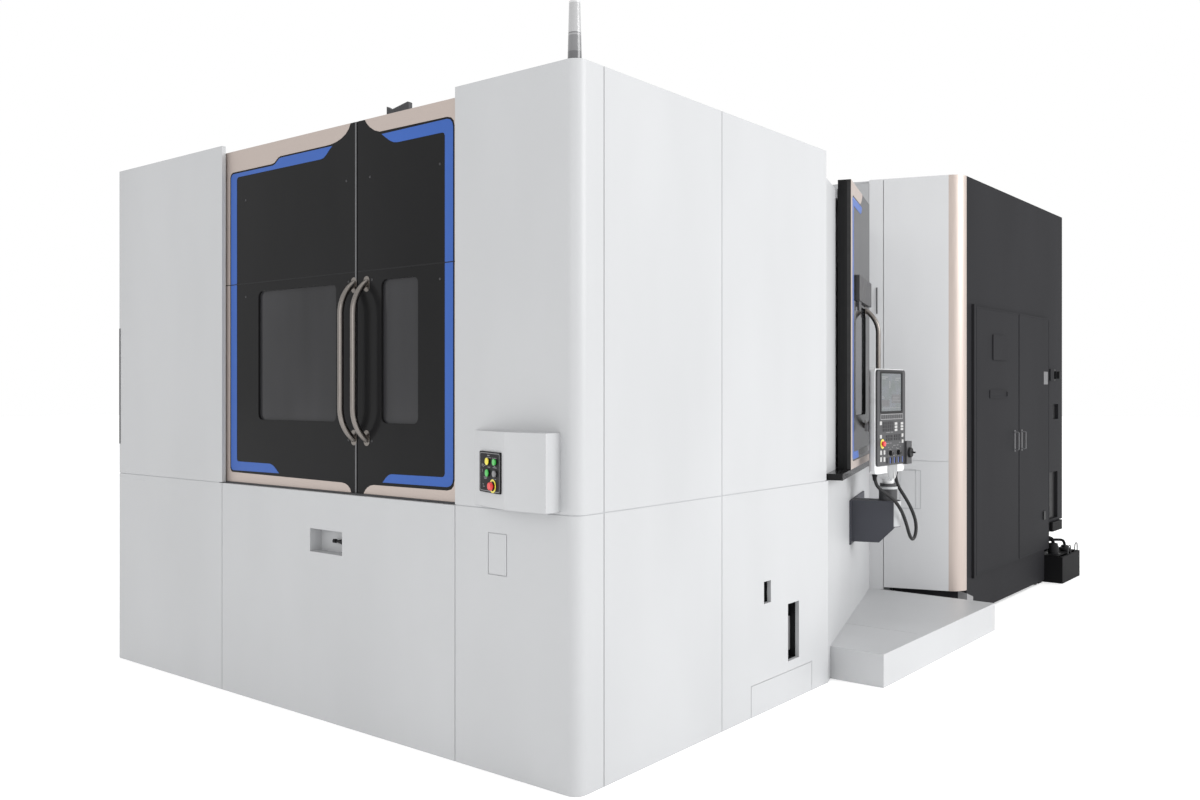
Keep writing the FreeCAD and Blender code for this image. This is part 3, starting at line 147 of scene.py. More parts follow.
def brushedMetal(name, colour, rough, stretch, spread=0.08, metal=1.0, scale=90, depth=0.00006):
    mat, shader = newFinish(name, colour, rough, metal)
    strokes = grainSource(mat, scale, stretch, 6.0)
    shadeColour(mat, shader, strokes.outputs["Fac"], [c * (1 - spread) for c in colour],
                [min(1.0, c * (1 + spread)) for c in colour])
    shadeRough(mat, shader, strokes.outputs["Fac"], rough - 0.07, rough + 0.07)
    raiseGrain(mat, shader, strokes.outputs["Fac"], 0.2, depth)
    return mat


def mouldedPlastic(name, colour, rough, spread=0.06, stipple=1400, depth=0.00008, gloss=0.0, shine=0.5):
    mat, shader = newFinish(name, colour, rough, shine=shine)
    cells = grainSource(mat, stipple, kind="ShaderNodeTexVoronoi")
    broad = grainSource(mat, 14, detail=3.0)
    shadeColour(mat, shader, broad.outputs["Fac"], [c * (1 - spread) for c in colour],
                [min(1.0, c * (1 + spread)) for c in colour])
    shadeRough(mat, shader, broad.outputs["Fac"], max(0.04, rough - 0.04), rough + 0.04)
    raiseGrain(mat, shader, cells.outputs["Distance"], 0.15, depth)
    if gloss:
        shader.inputs["Coat Weight"].default_value = gloss
    return mat


paint = {
    "white": (0.435, 0.441, 0.450),
    "white_rough": 0.42,
    # painted light: the rear panel's white is the same powder coat made lighter, standing in for the light
    # it gets
    "rear_white_painted_light": (0.56, 0.565, 0.575),
    "tank": (0.006, 0.006, 0.0065),
    "champagne": (0.455, 0.39, 0.355),
    "blue": (0.027, 0.092, 0.35),
    "door_black": (0.012, 0.012, 0.0125),
    "cabinet": (0.0195, 0.0195, 0.0215),
    "bracket": (0.045, 0.047, 0.058),
    "pewter": (0.21, 0.192, 0.178),
}
whiteSheet = coatedSheet("white_powder_coat", paint["white"], paint["white_rough"])
# painted light: a lighter copy of the white powder coat for the rear panel, brightened in place of light
rearWhitePaintedLight = coatedSheet("white_powder_coat_rear_painted_light", paint["rear_white_painted_light"], paint["white_rough"])
tankBlack = coatedSheet("tank_black", paint["tank"], 0.6, 0.2, 700, 0.0003, shine=0.06)
plasticWhite = mouldedPlastic("white_moulded_housing", (0.70, 0.705, 0.71), 0.30, 0.02, gloss=0.15)
champagne = brushedMetal("champagne_anodised", paint["champagne"], 0.42, (1, 1, 0.03), 0.03, 0.55, 160)
stripeBlue = coatedSheet("stripe_blue", paint["blue"], 0.34, 0.05, 600, 0.0001, 0.05, 0.25)
doorBlack = coatedSheet("gloss_black_door", paint["door_black"], 0.15, 0.10, 300, 0.00003, shine=0.08)
cabinetBlack = coatedSheet("charcoal_powder_coat", paint["cabinet"], 0.56, 0.07, 700, 0.0003, shine=0.03)
bracketGrey = coatedSheet("bracket_charcoal", paint["bracket"], 0.52, 0.05, 700, 0.0003, shine=0.3)
darkSteel = brushedMetal("blackened_steel", (0.045, 0.045, 0.048), 0.46, (1, 1, 0.2), 0.15, 0.35, 60)
pewterTube = brushedMetal("pewter_tube", paint["pewter"], 0.30, (1, 1, 0.04), 0.07, 1.0, 260)
brightSteel = brushedMetal("ground_steel", (0.56, 0.56, 0.57), 0.28, (0.1, 1, 1), 0.08, 1.0, 120)
facePlastic = mouldedPlastic("charcoal_face", (0.050, 0.050, 0.053), 0.48, shine=0.3)
blackPlastic = mouldedPlastic("black_plastic", (0.010, 0.010, 0.011), 0.45, shine=0.15)
keyBlack = mouldedPlastic("key_black", (0.016, 0.016, 0.019), 0.36, shine=0.3)
keyBlue = mouldedPlastic("key_blue", (0.035, 0.08, 0.34), 0.36)
keyWhite = mouldedPlastic("key_white", (0.42, 0.42, 0.415), 0.40, 0.02)
tagGrey = mouldedPlastic("tag_grey", (0.115, 0.115, 0.12), 0.45, shine=0.3)
keyGrey = mouldedPlastic("key_grey", (0.20, 0.20, 0.205), 0.45)
redPlastic = mouldedPlastic("signal_red", (0.66, 0.022, 0.018), 0.30, 0.05, gloss=0.3)
greenPlastic = mouldedPlastic("signal_green", (0.045, 0.42, 0.065), 0.30, 0.05, gloss=0.3)
yellowPlastic = mouldedPlastic("signal_yellow", (0.72, 0.62, 0.05), 0.32, 0.04, gloss=0.3)
greyDome = mouldedPlastic("grey_dome", (0.27, 0.275, 0.28), 0.36, 0.04)
rubber = mouldedPlastic("cord_rubber", (0.018, 0.018, 0.019), 0.60, 0.2, 500, 0.0002, shine=0.3)
metalPaint = coatedSheet("light_grey_cap", (0.42, 0.43, 0.44), 0.44, 0.03)


def castIron():
    mat, shader = newFinish("painted_casting", (0.22, 0.235, 0.24), 0.55)
    lumps = grainSource(mat, 38, detail=8.0)
    shadeColour(mat, shader, lumps.outputs["Fac"], (0.17, 0.185, 0.19), (0.27, 0.285, 0.29))
    shadeRough(mat, shader, lumps.outputs["Fac"], 0.46, 0.68)
    raiseGrain(mat, shader, lumps.outputs["Fac"], 0.4, 0.0012)
    return mat


def smokedPane():
    mat, shader = newFinish("smoked_pane", (0.034, 0.034, 0.036), 0.07, shine=0.12)
    haze = grainSource(mat, 2.2, (1, 1, 0.25), 2.0)
    shadeColour(mat, shader, haze.outputs["Fac"], (0.026, 0.026, 0.028), (0.043, 0.043, 0.046))
    shadeRough(mat, shader, haze.outputs["Fac"], 0.06, 0.12)
    shader.inputs["Transmission Weight"].default_value = 0.18
    shader.inputs["IOR"].default_value = 1.49
    return mat


def lampShade():      # dark base, grey lower lens, clear grey upper lens, told apart by height
    mat, shader = newFinish("signal_lamp_lens", (0.2, 0.2, 0.2), 0.22)
    low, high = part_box("signal_lamp")
    place = addNode(mat, "ShaderNodeTexCoord")
    split = addNode(mat, "ShaderNodeSeparateXYZ")
    span = addNode(mat, "ShaderNodeMapRange")
    span.inputs["From Min"].default_value = low.z
    span.inputs["From Max"].default_value = high.z
    bands = addNode(mat, "ShaderNodeValToRGB")
    bands.color_ramp.interpolation = "CONSTANT"
    stops = ((0.0, (0.72, 0.735, 0.75)), (0.12, (0.055, 0.055, 0.058)), (0.20, (0.10, 0.10, 0.105)),
             (0.30, (0.17, 0.17, 0.175)), (0.52, (0.27, 0.27, 0.275)), (0.545, (0.12, 0.12, 0.125)),
             (0.56, (0.36, 0.36, 0.365)), (0.97, (0.52, 0.52, 0.525)))
    bands.color_ramp.elements[0].position = stops[0][0]
    bands.color_ramp.elements[0].color = (*stops[0][1], 1)
    bands.color_ramp.elements[1].position = stops[1][0]
    bands.color_ramp.elements[1].color = (*stops[1][1], 1)
    for where, colour in stops[2:]:
        bands.color_ramp.elements.new(where).color = (*colour, 1)
    join(mat, place.outputs["Object"], split.inputs["Vector"])
    join(mat, split.outputs["Z"], span.inputs["Value"])
    join(mat, span.outputs["Result"], bands.inputs["Fac"])
    join(mat, bands.outputs["Color"], shader.inputs["Base Color"])
    ribs = grainSource(mat, 700, detail=1.0)
    raiseGrain(mat, shader, ribs.outputs["Fac"], 0.1, 0.0001)
    shader.inputs["Coat Weight"].default_value = 0.4
    return mat


casting = castIron()
smoked = smokedPane()
lampLens = lampShade()

nodeFinish = {
    whiteSheet: ["front_apron", "front_left_cover", "corner_cover", "side_lower_cover", "side_upper_cover",
                 "front_shell", "mid_shell", "rear_shell", "wall_lower", "wall_upper", "setup_box",
                 "step_platform"],
    rearWhitePaintedLight: ["rear_panel"],
    tankBlack: ["coolant_tank"],
    plasticWhite: ["pendant_shell"],
    champagne: ["corner_trim"],
    doorBlack: ["door_left", "door_right", "side_door", "wall_sill"],
    smoked: ["glass_left", "glass_right", "side_glass"],
    pewterTube: ["handle_left", "handle_right", "side_handle"],
    cabinetBlack: ["cabinet_shell", "cabinet_door_front", "cabinet_door_rear"],
    bracketGrey: ["pendant_bracket"],
    facePlastic: ["pendant_face"],
    blackPlastic: ["setup_plate", "breaker_knob", "feed_knob", "speed_knob", "handwheel", "latch_lever"],
    darkSteel: ["door_sill", "pendant_post", "partition", "shutter", "magazine_frame"],
    redPlastic: ["setup_estop", "pendant_estop"],
    greenPlastic: ["start_button"],
    keyGrey: ["stop_button"],
    casting: ["cast_bed", "table_saddle", "moving_column", "spindle_head", "changer_hub"],
    brightSteel: ["rotary_table", "pallet_machining", "pallet_setup", "changer_arm", "spindle",
                  "magazine_wheel", "magazine_tools"],
    lampLens: ["signal_lamp"],
    rubber: ["pendant_cord"],
}
for finish, names in nodeFinish.items():
    for name in names:
        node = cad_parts[name]
        for holder in node.material_slots:
            holder.material = finish
        if not node.material_slots:
            node.data.materials.append(finish)
bare = sorted(set(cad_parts) - {n for names in nodeFinish.values() for n in names})
print("finishes on the frame, left bare:", bare)


# makers of pieces
def settle(name, mesh, board, finish, body, soften=0.0):
    piece = bpy.data.objects.new(name, mesh)
    bpy.context.scene.collection.objects.link(piece)
    piece.matrix_world = board
    piece.data.materials.append(finish)
    if soften:
        edge = piece.modifiers.new("edge", "BEVEL")
        edge.width, edge.segments, edge.limit_method = soften * mm, 2, "ANGLE"
        edge.angle_limit = math.radians(35)
    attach(piece, body)
    return piece


def meshFrom(name, bm, smooth=False):
    bmesh.ops.recalc_face_normals(bm, faces=bm.faces)
    mesh = bpy.data.meshes.new(name)
    bm.to_mesh(mesh)
    bm.free()
    if smooth:
        mesh.shade_smooth()
        mesh.set_sharp_from_angle(angle=math.radians(35))
    return mesh


def addSlab(bm, outline, low, high, holes=()):      # a flat plate between two heights, in millimetres
    edges = []
    for loop in (outline, *holes):
        verts = [bm.verts.new((x * mm, y * mm, low * mm)) for x, y in loop]
        edges += [bm.edges.new((a, b)) for a, b in zip(verts, verts[1:] + verts[:1])]
    filled = bmesh.ops.triangle_fill(bm, use_beauty=True, use_dissolve=False, edges=edges)
    faces = [g for g in filled["geom"] if isinstance(g, bmesh.types.BMFace)]
    raised = bmesh.ops.extrude_face_region(bm, geom=faces)["geom"]
    bmesh.ops.translate(bm, vec=(0, 0, (high - low) * mm),
                        verts=[g for g in raised if isinstance(g, bmesh.types.BMVert)])


def slabs(name, board, plates, finish, body, soften=0.0):
    bm = bmesh.new()
    for plate in plates:
        addSlab(bm, *plate)
    return settle(name, meshFrom(name, bm), board, finish, body, soften)


def ring(x, y, radius, count=32):
    return [(x + radius * math.cos(i * math.tau / count), y + radius * math.sin(i * math.tau / count))
            for i in range(count)]


def roundBox(x0, y0, x1, y1, radius, count=6):
    out = []
    for cx, cy, start in ((x1 - radius, y1 - radius, 0), (x0 + radius, y1 - radius, 90),
                          (x0 + radius, y0 + radius, 180), (x1 - radius, y0 + radius, 270)):
        for i in range(count + 1):
            a = math.radians(start + 90 * i / count)
            out.append((cx + radius * math.cos(a), cy + radius * math.sin(a)))
    return out


def lathe(name, board, profile, finish, body, spots=((0, 0),), count=32):
    bm = bmesh.new()      # profile: (radius, height) pairs from the foot to the top
    for x, y in spots:
        rows = [[bm.verts.new((x * mm + r * mm * math.cos(i * math.tau / count),
                               y * mm + r * mm * math.sin(i * math.tau / count), h * mm))
                 for i in range(count)] for r, h in profile]
        for low, high in zip(rows, rows[1:]):
            for i in range(count):
                j = (i + 1) % count
                bm.faces.new((low[i], low[j], high[j], high[i]))
        bm.faces.new(rows[0])
        bm.faces.new(rows[-1])
    return settle(name, meshFrom(name, bm, True), board, finish, body)


def bentTube(name, board, points, radius, finish, body, smoothLine=True):
    curve = bpy.data.curves.new(name, "CURVE")
    curve.dimensions = "3D"
    curve.bevel_depth, curve.bevel_resolution, curve.use_fill_caps = radius * mm, 4, True
    line = curve.splines.new("NURBS" if smoothLine else "POLY")
    line.points.add(len(points) - 1)
    for point, (x, y, z) in zip(line.points, points):
        point.co = (x * mm, y * mm, z * mm, 1)
    if smoothLine:
        line.order_u, line.use_endpoint_u, line.resolution_u = 3, True, 8
    return settle(name, curve, board, finish, body)


# camera
view = {"x": 3049.0, "y": -3663.0, "height": 1817.0, "turn": 38.573, "lens": 32.19, "shiftY": -0.0083}
camera = bpy.data.objects.new("camera", bpy.data.cameras.new("camera"))
bpy.context.scene.collection.objects.link(camera)
camera.location = at(view["x"], view["y"], view["height"])
camera.rotation_euler = (math.pi / 2, 0, math.radians(view["turn"]))
camera.data.lens, camera.data.sensor_width = view["lens"], 36
camera.data.shift_y = view["shiftY"]
camera.data.clip_end = 200
bpy.context.scene.camera = camera

# pendant cord
cord = {"diameter": 0.024, "length": 1.25}
cordRoute = [
    (-100, 3340, 1235), (-100, 3340, 1172), (-62, 3378, 1112), (-8, 3448, 1060), (20, 3530, 965),
    (22, 3606, 860), (15, 3672, 778), (10, 3742, 742), (5, 3808, 778), (0, 3826, 862),
    (-20, 3790, 962), (-50, 3738, 1052), (-100, 3692, 1156), (-100, 3692, 1235),
]
cordCurve = bpy.data.curves.new("pendant_lead", "CURVE")
cordCurve.dimensions = "3D"
cordCurve.bevel_depth, cordCurve.bevel_resolution = cord["diameter"] / 2, 5
cordCurve.use_fill_caps = True
cordLine = cordCurve.splines.new("NURBS")
cordLine.points.add(len(cordRoute) - 1)
for point, place in zip(cordLine.points, cordRoute):
    point.co = (*at(*place), 1)
cordLine.order_u = 3
cordLine.use_endpoint_u = True
cordLine.resolution_u = 12
pendantLead = settle("pendant_lead", cordCurve, Matrix(), rubber, "pendant")
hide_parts("pendant_cord")
for tag, place in (("near", cordRoute[0]), ("far", cordRoute[-1])):      # strain reliefs under the shell
    lathe("lead_gland_" + tag, boardAt(at(*place), (1, 0, 0), (0, -1, 0)),
          [(12.4, 46), (13, 45), (15, 22), (17, 20), (17, 12), (19, 11), (19, -1)],
          blackPlastic, "pendant")
print("camera and cord")

# front doors
doorTrim = {"rise": 1.2, "goldRise": 1.6, "screw": 7}
doorBoard = boardAt(at(0, 35, 0), (1, 0, 0))      # x and y are the block's own X and height
goldLeft = [(-2835, 1263), (-1621, 1263), (-1630, 1284), (-1649, 1300), (-1672, 1309), (-1700, 1313),
            (-2748, 1321), (-2764, 1328), (-2773, 1345), (-2773, 3104), (-2766, 3122), (-2748, 3134),
            (-2344, 3134), (-2320, 3139), (-2284, 3163), (-2262, 3169), (-1849, 3169), (-1800, 3170),
            (-1752, 3176), (-1704, 3190), (-1668, 3208), (-1641, 3232), (-1626, 3261), (-2835, 3261)]
blueLeft = [(-2765, 1354), (-2758, 1339), (-2742, 1332), (-2276, 1335), (-2300, 1354), (-2324, 1372),
            (-2342, 1381), (-2366, 1387), (-2686, 1387), (-2698, 1391), (-2703, 1402), (-2703, 3082),
            (-2698, 3094), (-2686, 3100), (-1892, 3100), (-1862, 3104), (-1838, 3118), (-1808, 3144),
            (-1784, 3160), (-2258, 3160), (-2277, 3156), (-2313, 3131), (-2338, 3124), (-2742, 3124),
            (-2758, 3116), (-2765, 3100)]
goldRight = [(-1516, 1263), (-783, 1263), (-783, 3261), (-1506, 3261), (-1490, 3238), (-1462, 3213),
             (-1424, 3191), (-1385, 3179), (-872, 3176), (-842, 3168), (-824, 3150), (-818, 3124),
             (-818, 1372), (-824, 1342), (-842, 1324), (-872, 1317), (-1434, 1314), (-1460, 1309),
             (-1484, 1298), (-1502, 1283)]
blueRight = [(-1362, 1331), (-872, 1334), (-848, 1341), (-834, 1356), (-829, 1376), (-829, 3120),
             (-835, 3144), (-850, 3160), (-874, 3166), (-1370, 3164), (-1338, 3142), (-1300, 3118),
             (-1272, 3107), (-1240, 3103), (-908, 3103), (-894, 3098), (-888, 3084), (-888, 1400),
             (-894, 1387), (-908, 1382), (-1290, 1378), (-1312, 1373), (-1334, 1358)]
splitLow, splitHigh = 2450.5, 2455.5


def splitAt(outline, keepLow):      # the part of a trim below or above the leaf's joint line
    level = splitLow if keepLow else splitHigh
    inside = (lambda y: y <= level) if keepLow else (lambda y: y >= level)
    out = []
    for (x0, y0), (x1, y1) in zip(outline, outline[1:] + outline[:1]):
        if inside(y0):
            out.append((x0, y0))
        if inside(y0) != inside(y1):
            out.append((x0 + (x1 - x0) * (level - y0) / (y1 - y0), level))
    return out


for side, gold, blue, body in (("left", goldLeft, blueLeft, "front_door_left"),
                               ("right", goldRight, blueRight, "front_door_right")):
    for tag, low in (("lower", True), ("upper", False)):
        slabs(f"door_trim_{side}_{tag}", doorBoard, [(splitAt(gold, low), 0, doorTrim["goldRise"])],
              champagne, body, 0.5)
        slabs(f"door_stripe_{side}_{tag}", doorBoard, [(splitAt(blue, low), 0, doorTrim["rise"])],
              stripeBlue, body, 0.3)
for body, left, right in (("front_door_left", -2834, -1577), ("front_door_right", -1567, -784)):
    slabs("leaf_joint_" + body[11:], doorBoard,
          [([(left, splitLow - 1), (right, splitLow - 1), (right, splitHigh + 1), (left, splitHigh + 1)],
            0, 0.4)],
          blackPlastic, body)
screwSpots = {"front_door_left": [(-2609, 2374), (-1643, 2403), (-1643, 1546), (-1661, 2952),
                                  (-2609, 2952)],
              "front_door_right": [(-924, 2373), (-1448, 2403), (-1448, 1546), (-1464, 2950), (-924, 2948)]}
for body, spots in screwSpots.items():
    r = doorTrim["screw"]
    lathe("leaf_screws_" + body[-5:].strip("_"), doorBoard,
          [(r, 0), (r, 0.8), (r * 0.86, 2.2), (r * 0.45, 3), (r * 0.4, 1.6)],
          darkSteel, body, spots, 16)
slabs("meeting_strip", doorBoard, [([(-1586, 1264), (-1575, 1264), (-1575, 3260), (-1586, 3260)], 0, 2.2)],
      tagGrey, "front_door_left", 0.8)
for side, body in (("left", "front_door_left"), ("right", "front_door_right")):
    low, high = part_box("handle_" + side)
    midX = ((low.x + high.x) / 2 - cornerX) / mm
    for end, z in (("low", low.z / mm + 24), ("top", high.z / mm - 24)):
        slabs(f"handle_foot_{side}_{end}", doorBoard,
              [(roundBox(midX - 23, z - 42, midX + 23, z + 42, 22), 0, 2.5)],
              pewterTube, body, 0.8)
print("front doors")

# small parts on the set-up block
grip = {"from": 1454, "to": 2234, "wide": 13, "rise": 3}
slabs("edge_grip", boardAt(at(0, 0, 0), (1, 0, 0)),
      [([(-4046, grip["from"]), (-4046 + grip["wide"], grip["from"]), (-4046 + grip["wide"], grip["to"]),
         (-4046, grip["to"])], 0, grip["rise"])], darkSteel, "root", 1.0)
roofBracket = {"x": -1483, "long": 178, "tall": 104}
slabs("roof_bracket", boardAt(at(roofBracket["x"], 190, 3250), (1, 0, 0)),
      [([(0, 0), (0, roofBracket["tall"]), (40, roofBracket["tall"] - 22),
         (roofBracket["long"] - 8, roofBracket["tall"]),
         (roofBracket["long"], roofBracket["tall"] - 6), (roofBracket["long"], 0)], 0, 26)],
      darkSteel, "root", 1.0)
facet = {"x": -642, "turn": math.radians(19.15)}      # slanted face of the control box
plateBoard = boardAt(at(facet["x"], 0, 0), (math.cos(facet["turn"]), -math.sin(facet["turn"]), 0))
plateFace = 8.0
slabs("plate_bezel_line", plateBoard,
      [(roundBox(72, 1343, 275, 1523, 10), plateFace, plateFace + 0.5, [roundBox(75, 1346, 272, 1520, 8)])],
      keyGrey, "root")
slabs("plate_legends", plateBoard,
      [(roundBox(x, z, x + w, z + h, 1), plateFace, plateFace + 0.4)
       for x, z, w, h in ((150, 1508, 22, 5), (142, 1499, 14, 3), (160, 1499, 26, 3), (198, 1499, 12, 3),
                          (214, 1499, 30, 3), (92, 1458, 6, 12), (102, 1456, 10, 3), (102, 1464, 10, 3),
                          (118, 1460, 12, 3), (152, 1455, 28, 3), (206, 1455, 40, 3), (218, 1461, 16, 3),
                          (112, 1406, 36, 3), (118, 1400, 24, 3), (206, 1402, 10, 3), (224, 1402, 16, 3),
                          (96, 1430, 3, 14), (100, 1372, 12, 3), (104, 1362, 18, 3))],
      keyGrey, "root")
lampCap = {"fromLeft": 0.157, "face": 0.0142}      # metres on the control plate
capProfile = [(17, -0.5), (17, 3), (15.5, 4.2), (11, 5.2), (4, 5.6), (1, 5.6)]
for tag, height, finish in (("yellow", 1.483, yellowPlastic), ("green", 1.429, greenPlastic)):
    lathe("plate_lamp_" + tag,
          boardAt(plateBoard @ Vector((lampCap["fromLeft"], height, lampCap["face"])),
                  plateBoard.col[0].to_3d()),
          capProfile, finish, "root")
slabs("estop_ring", plateBoard,
      [(ring(206, 1370, 32, 40), plateFace, plateFace + 1.2, [ring(206, 1370, 23, 40)])],
      yellowPlastic, "root", 0.3)
# light strip in the waist seam
gasket = {"behind": 3, "deep": 18, "low": 1250, "high": 1260, "corner": 60}
near, far, bend = gasket["behind"], gasket["deep"], gasket["corner"]
turnOut = [(-bend + (bend - near) * math.sin(math.radians(a)),
            bend - (bend - near) * math.cos(math.radians(a)))
           for a in range(0, 91, 9)]
turnIn = [(-bend + (bend - far) * math.sin(math.radians(a)),
           bend - (bend - far) * math.cos(math.radians(a)))
          for a in range(90, -1, -9)]
slabs("waist_gasket", Matrix.Translation(at(0, 0, 0)),
      [([(-4040, near), (-2842, near), (-2842, far), (-4040, far)], gasket["low"], gasket["high"]),
       ([(-778, near), *turnOut, (-near, 2400), (-far, 2400), *turnIn, (-778, far)],
        gasket["low"], gasket["high"])],
      metalPaint, "root")
# painted shade: black open boxes behind the two side slots stand in for the shade inside the hollow block
slotShadeBox = {"deep": 120}
for tag, y0, y1, z0, z1 in (("small", 1643, 1722, 610, 735), ("tall", 1921, 2056, 232, 567)):
    board = boardAt(at(-25, 0, 0), (0, 1, 0))
    rim = [(y0 - 8, z0 - 8), (y1 + 8, z0 - 8), (y1 + 8, z1 + 8), (y0 - 8, z1 + 8)]
    hole = [(y0 - 1, z0 - 1), (y1 + 1, z0 - 1), (y1 + 1, z1 + 1), (y0 - 1, z1 + 1)]
    slabs("slot_shade_box_" + tag, board, [(rim, -slotShadeBox["deep"], -0.5, [hole]),
                                       (rim, -slotShadeBox["deep"] - 3, -slotShadeBox["deep"])],
          blackPlastic, "root")
slabs("slot_cover_plate", boardAt(at(-60, 0, 0), (0, 1, 0)),
      [(roundBox(1922, 268, 2055, 470, 4), -4, 0)], keyGrey, "root", 0.8)
slabs("slot_small_block", boardAt(at(-60, 0, 0), (0, 1, 0)),
      [(roundBox(1650, 622, 1716, 655, 3), -14, 0)], keyGrey, "root", 0.8)
bentTube("slot_pipe", boardAt(at(-60, 0, 0), (0, 1, 0)), [(1924, 470, -8), (1960, 500, 2),
                                                          (2000, 520, -4), (2054, 556, -12)],
         6, brightSteel, "root")
print("set-up block")

# side door
sideDoorOut = 839      # outer face of the side door, out of the wall frame's origin
sideBoard = boardAt(atWall(sideDoorOut, 0, 0), (-math.sin(wallTurn), math.cos(wallTurn), 0))
sideGold = [(2711, 1296), (3755, 1296), (3755, 1345), (2822, 1345), (2796, 1352), (2781, 1372),
            (2781, 3078), (2790, 3098), (2812, 3108), (3180, 3108), (3216, 3114), (3262, 3136),
            (3300, 3168), (3318, 3195), (2711, 3195)]
sideBlue = [(2790, 1388), (2796, 1366), (2820, 1356), (3118, 1356), (3098, 1384), (3074, 1404),
            (2864, 1406), (2852, 1420), (2852, 3030), (2862, 3044), (3090, 3044), (3222, 3044),
            (3262, 3062), (3296, 3098), (3236, 3100), (2822, 3098), (2796, 3088), (2790, 3066)]
slabs("side_trim", sideBoard, [(sideGold, 0, 1.6)], champagne, "side_door", 0.5)
slabs("side_stripe", sideBoard, [(sideBlue, 0, 1.2)], stripeBlue, "side_door", 0.3)
slabs("side_name_plate", sideBoard, [(roundBox(3166, 1368, 3740, 1408, 4), 0, 1.4)],
      keyGrey, "side_door", 0.3)
slabs("side_door_latch", sideBoard, [(roundBox(2990, 2425, 3690, 2600, 14), 0, 22),
                                     ([(3040, 2360), (3140, 2360), (3160, 2425), (3030, 2425)], 0, 14)],
      facePlastic, "side_door", 3)
slabs("side_edge_seal", boardAt(atWall(755, 2711, 0), (-math.cos(wallTurn), -math.sin(wallTurn), 0)),
      [([(-80, 1300), (-60, 1300), (-60, 3190), (-80, 3190)], 0, 2)], rubber, "side_door")
for end, z in (("low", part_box("side_handle")[0].z / mm + 24),
               ("top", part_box("side_handle")[1].z / mm - 24)):
    slabs("side_handle_foot_" + end, sideBoard,
          [(roundBox(3511 - 23, z - 42, 3511 + 23, z + 42, 22), 0, 2.5)],
          pewterTube, "side_door", 0.8)
print("side door")

# pendant
pendantFace = {"x": -60, "shellBack": -124, "knobRise": 21}
faceBoard = boardAt(at(pendantFace["x"], 0, 0), (0, 1, 0))      # x is the block's own Y, y is height
screen = {"left": 3359, "right": 3706, "low": 1668, "top": 1934, "glassDepth": -5.4}


def screenGlass():
    mat, shader = newFinish("screen_glass", (0.16, 0.175, 0.185), 0.12)
    glow = grainSource(mat, 9, (1, 1, 0.8), 2.0)
    ramp = shadeColour(mat, shader, glow.outputs["Fac"], (0.050, 0.066, 0.060), (0.080, 0.088, 0.108),
                       0.3, 0.7)
    marks = grainSource(mat, 150, (1, 1, 1.6), 6.0)
    spots = addNode(mat, "ShaderNodeValToRGB")
    spots.color_ramp.elements[0].position = 0.66
    spots.color_ramp.elements[1].position = 0.74
    blend = addNode(mat, "ShaderNodeMix")
    blend.data_type = "RGBA"
    blend.inputs["B"].default_value = (0.19, 0.21, 0.19, 1)
    join(mat, marks.outputs["Fac"], spots.inputs["Fac"])
    join(mat, spots.outputs["Color"], blend.inputs["Factor"])
    join(mat, ramp.outputs["Color"], blend.inputs[6])
    join(mat, blend.outputs[2], shader.inputs["Base Color"])
    shader.inputs["Coat Weight"].default_value = 0.6
    return mat


displayGlass = screenGlass()
slabs("screen_glass", faceBoard, [(roundBox(screen["left"] + 1, screen["low"] + 1, screen["right"] - 1,
                                            screen["top"] - 1, 5),
                                   screen["glassDepth"] - 0.4, screen["glassDepth"] + 3.4)],
      displayGlass, "pendant", 0.6)
windowBars = [(3376, 1905, 3470, 1911), (3376, 1893, 3440, 1897), (3500, 1830, 3512, 1880),
              (3378, 1760, 3420, 1764), (3378, 1772, 3400, 1776), (3600, 1900, 3690, 1904),
              (3600, 1886, 3660, 1890), (3378, 1690, 3680, 1693), (3560, 1740, 3690, 1743),
              (3560, 1752, 3650, 1755), (3560, 1764, 3670, 1767)]
slabs("screen_bars", faceBoard, [(roundBox(*bar, 1), -2.2, -1.6) for bar in windowBars], keyGrey,
      "pendant")
slabs("screen_panes", faceBoard, [(roundBox(3540, 1724, 3696, 1784, 2), -2.3, -1.8),
                                  (roundBox(3374, 1702, 3500, 1748, 2), -2.3, -1.8)],
      tagGrey, "pendant")
slabs("screen_rim", faceBoard, [(roundBox(3342, 1652, 3724, 1946, 16), 0, 2.2,
                                 [roundBox(3359, 1668, 3706, 1934, 8)])],
      blackPlastic, "pendant", 0.8)
slabs("soft_key_bar", faceBoard, [(roundBox(3342, 1610, 3724, 1650, 5), 0, 2.6)], keyGrey, "pendant",
      0.8)
slabs("soft_keys", faceBoard,
      [(roundBox(3352 + 37 * i, 1616, 3380 + 37 * i, 1644, 4), 2.2, 4.4) for i in range(10)],
      facePlastic, "pendant", 0.8)
blackKeys = [(roundBox(3386 + 30 * i, 1528 + 24 * j, 3411 + 30 * i, 1547 + 24 * j, 3), 0, 3)
             for i in range(6) for j in range(3)]
blackKeys += [(roundBox(3580 + 30 * i, 1462 + 22 * j, 3604 + 30 * i, 1479 + 22 * j, 3), 0, 3)
              for i in range(4) for j in range(2)]
blackKeys += [(roundBox(3440 + 30 * i, 1462 + 22 * j, 3464 + 30 * i, 1479 + 22 * j, 3), 0, 3)
              for i in range(4) for j in range(2)]
slabs("face_keys_black", faceBoard, blackKeys, keyBlack, "pendant", 0.7)
whiteKeys = [(roundBox(y0, z0, y1, z1, 3), 0, 3.4) for y0, z0, y1, z1 in
             ((3330, 1574, 3362, 1600), (3580, 1570, 3624, 1588), (3580, 1548, 3624, 1565),
              (3580, 1526, 3624, 1543), (3686, 1570, 3728, 1588), (3686, 1550, 3728, 1565),
              (3686, 1530, 3728, 1545), (3330, 1482, 3362, 1506), (3700, 1482, 3730, 1506),
              (3335, 1368, 3362, 1398), (3392, 1368, 3418, 1397), (3335, 1320, 3362, 1352),
              (3392, 1318, 3418, 1350), (3704, 1438, 3732, 1462))]
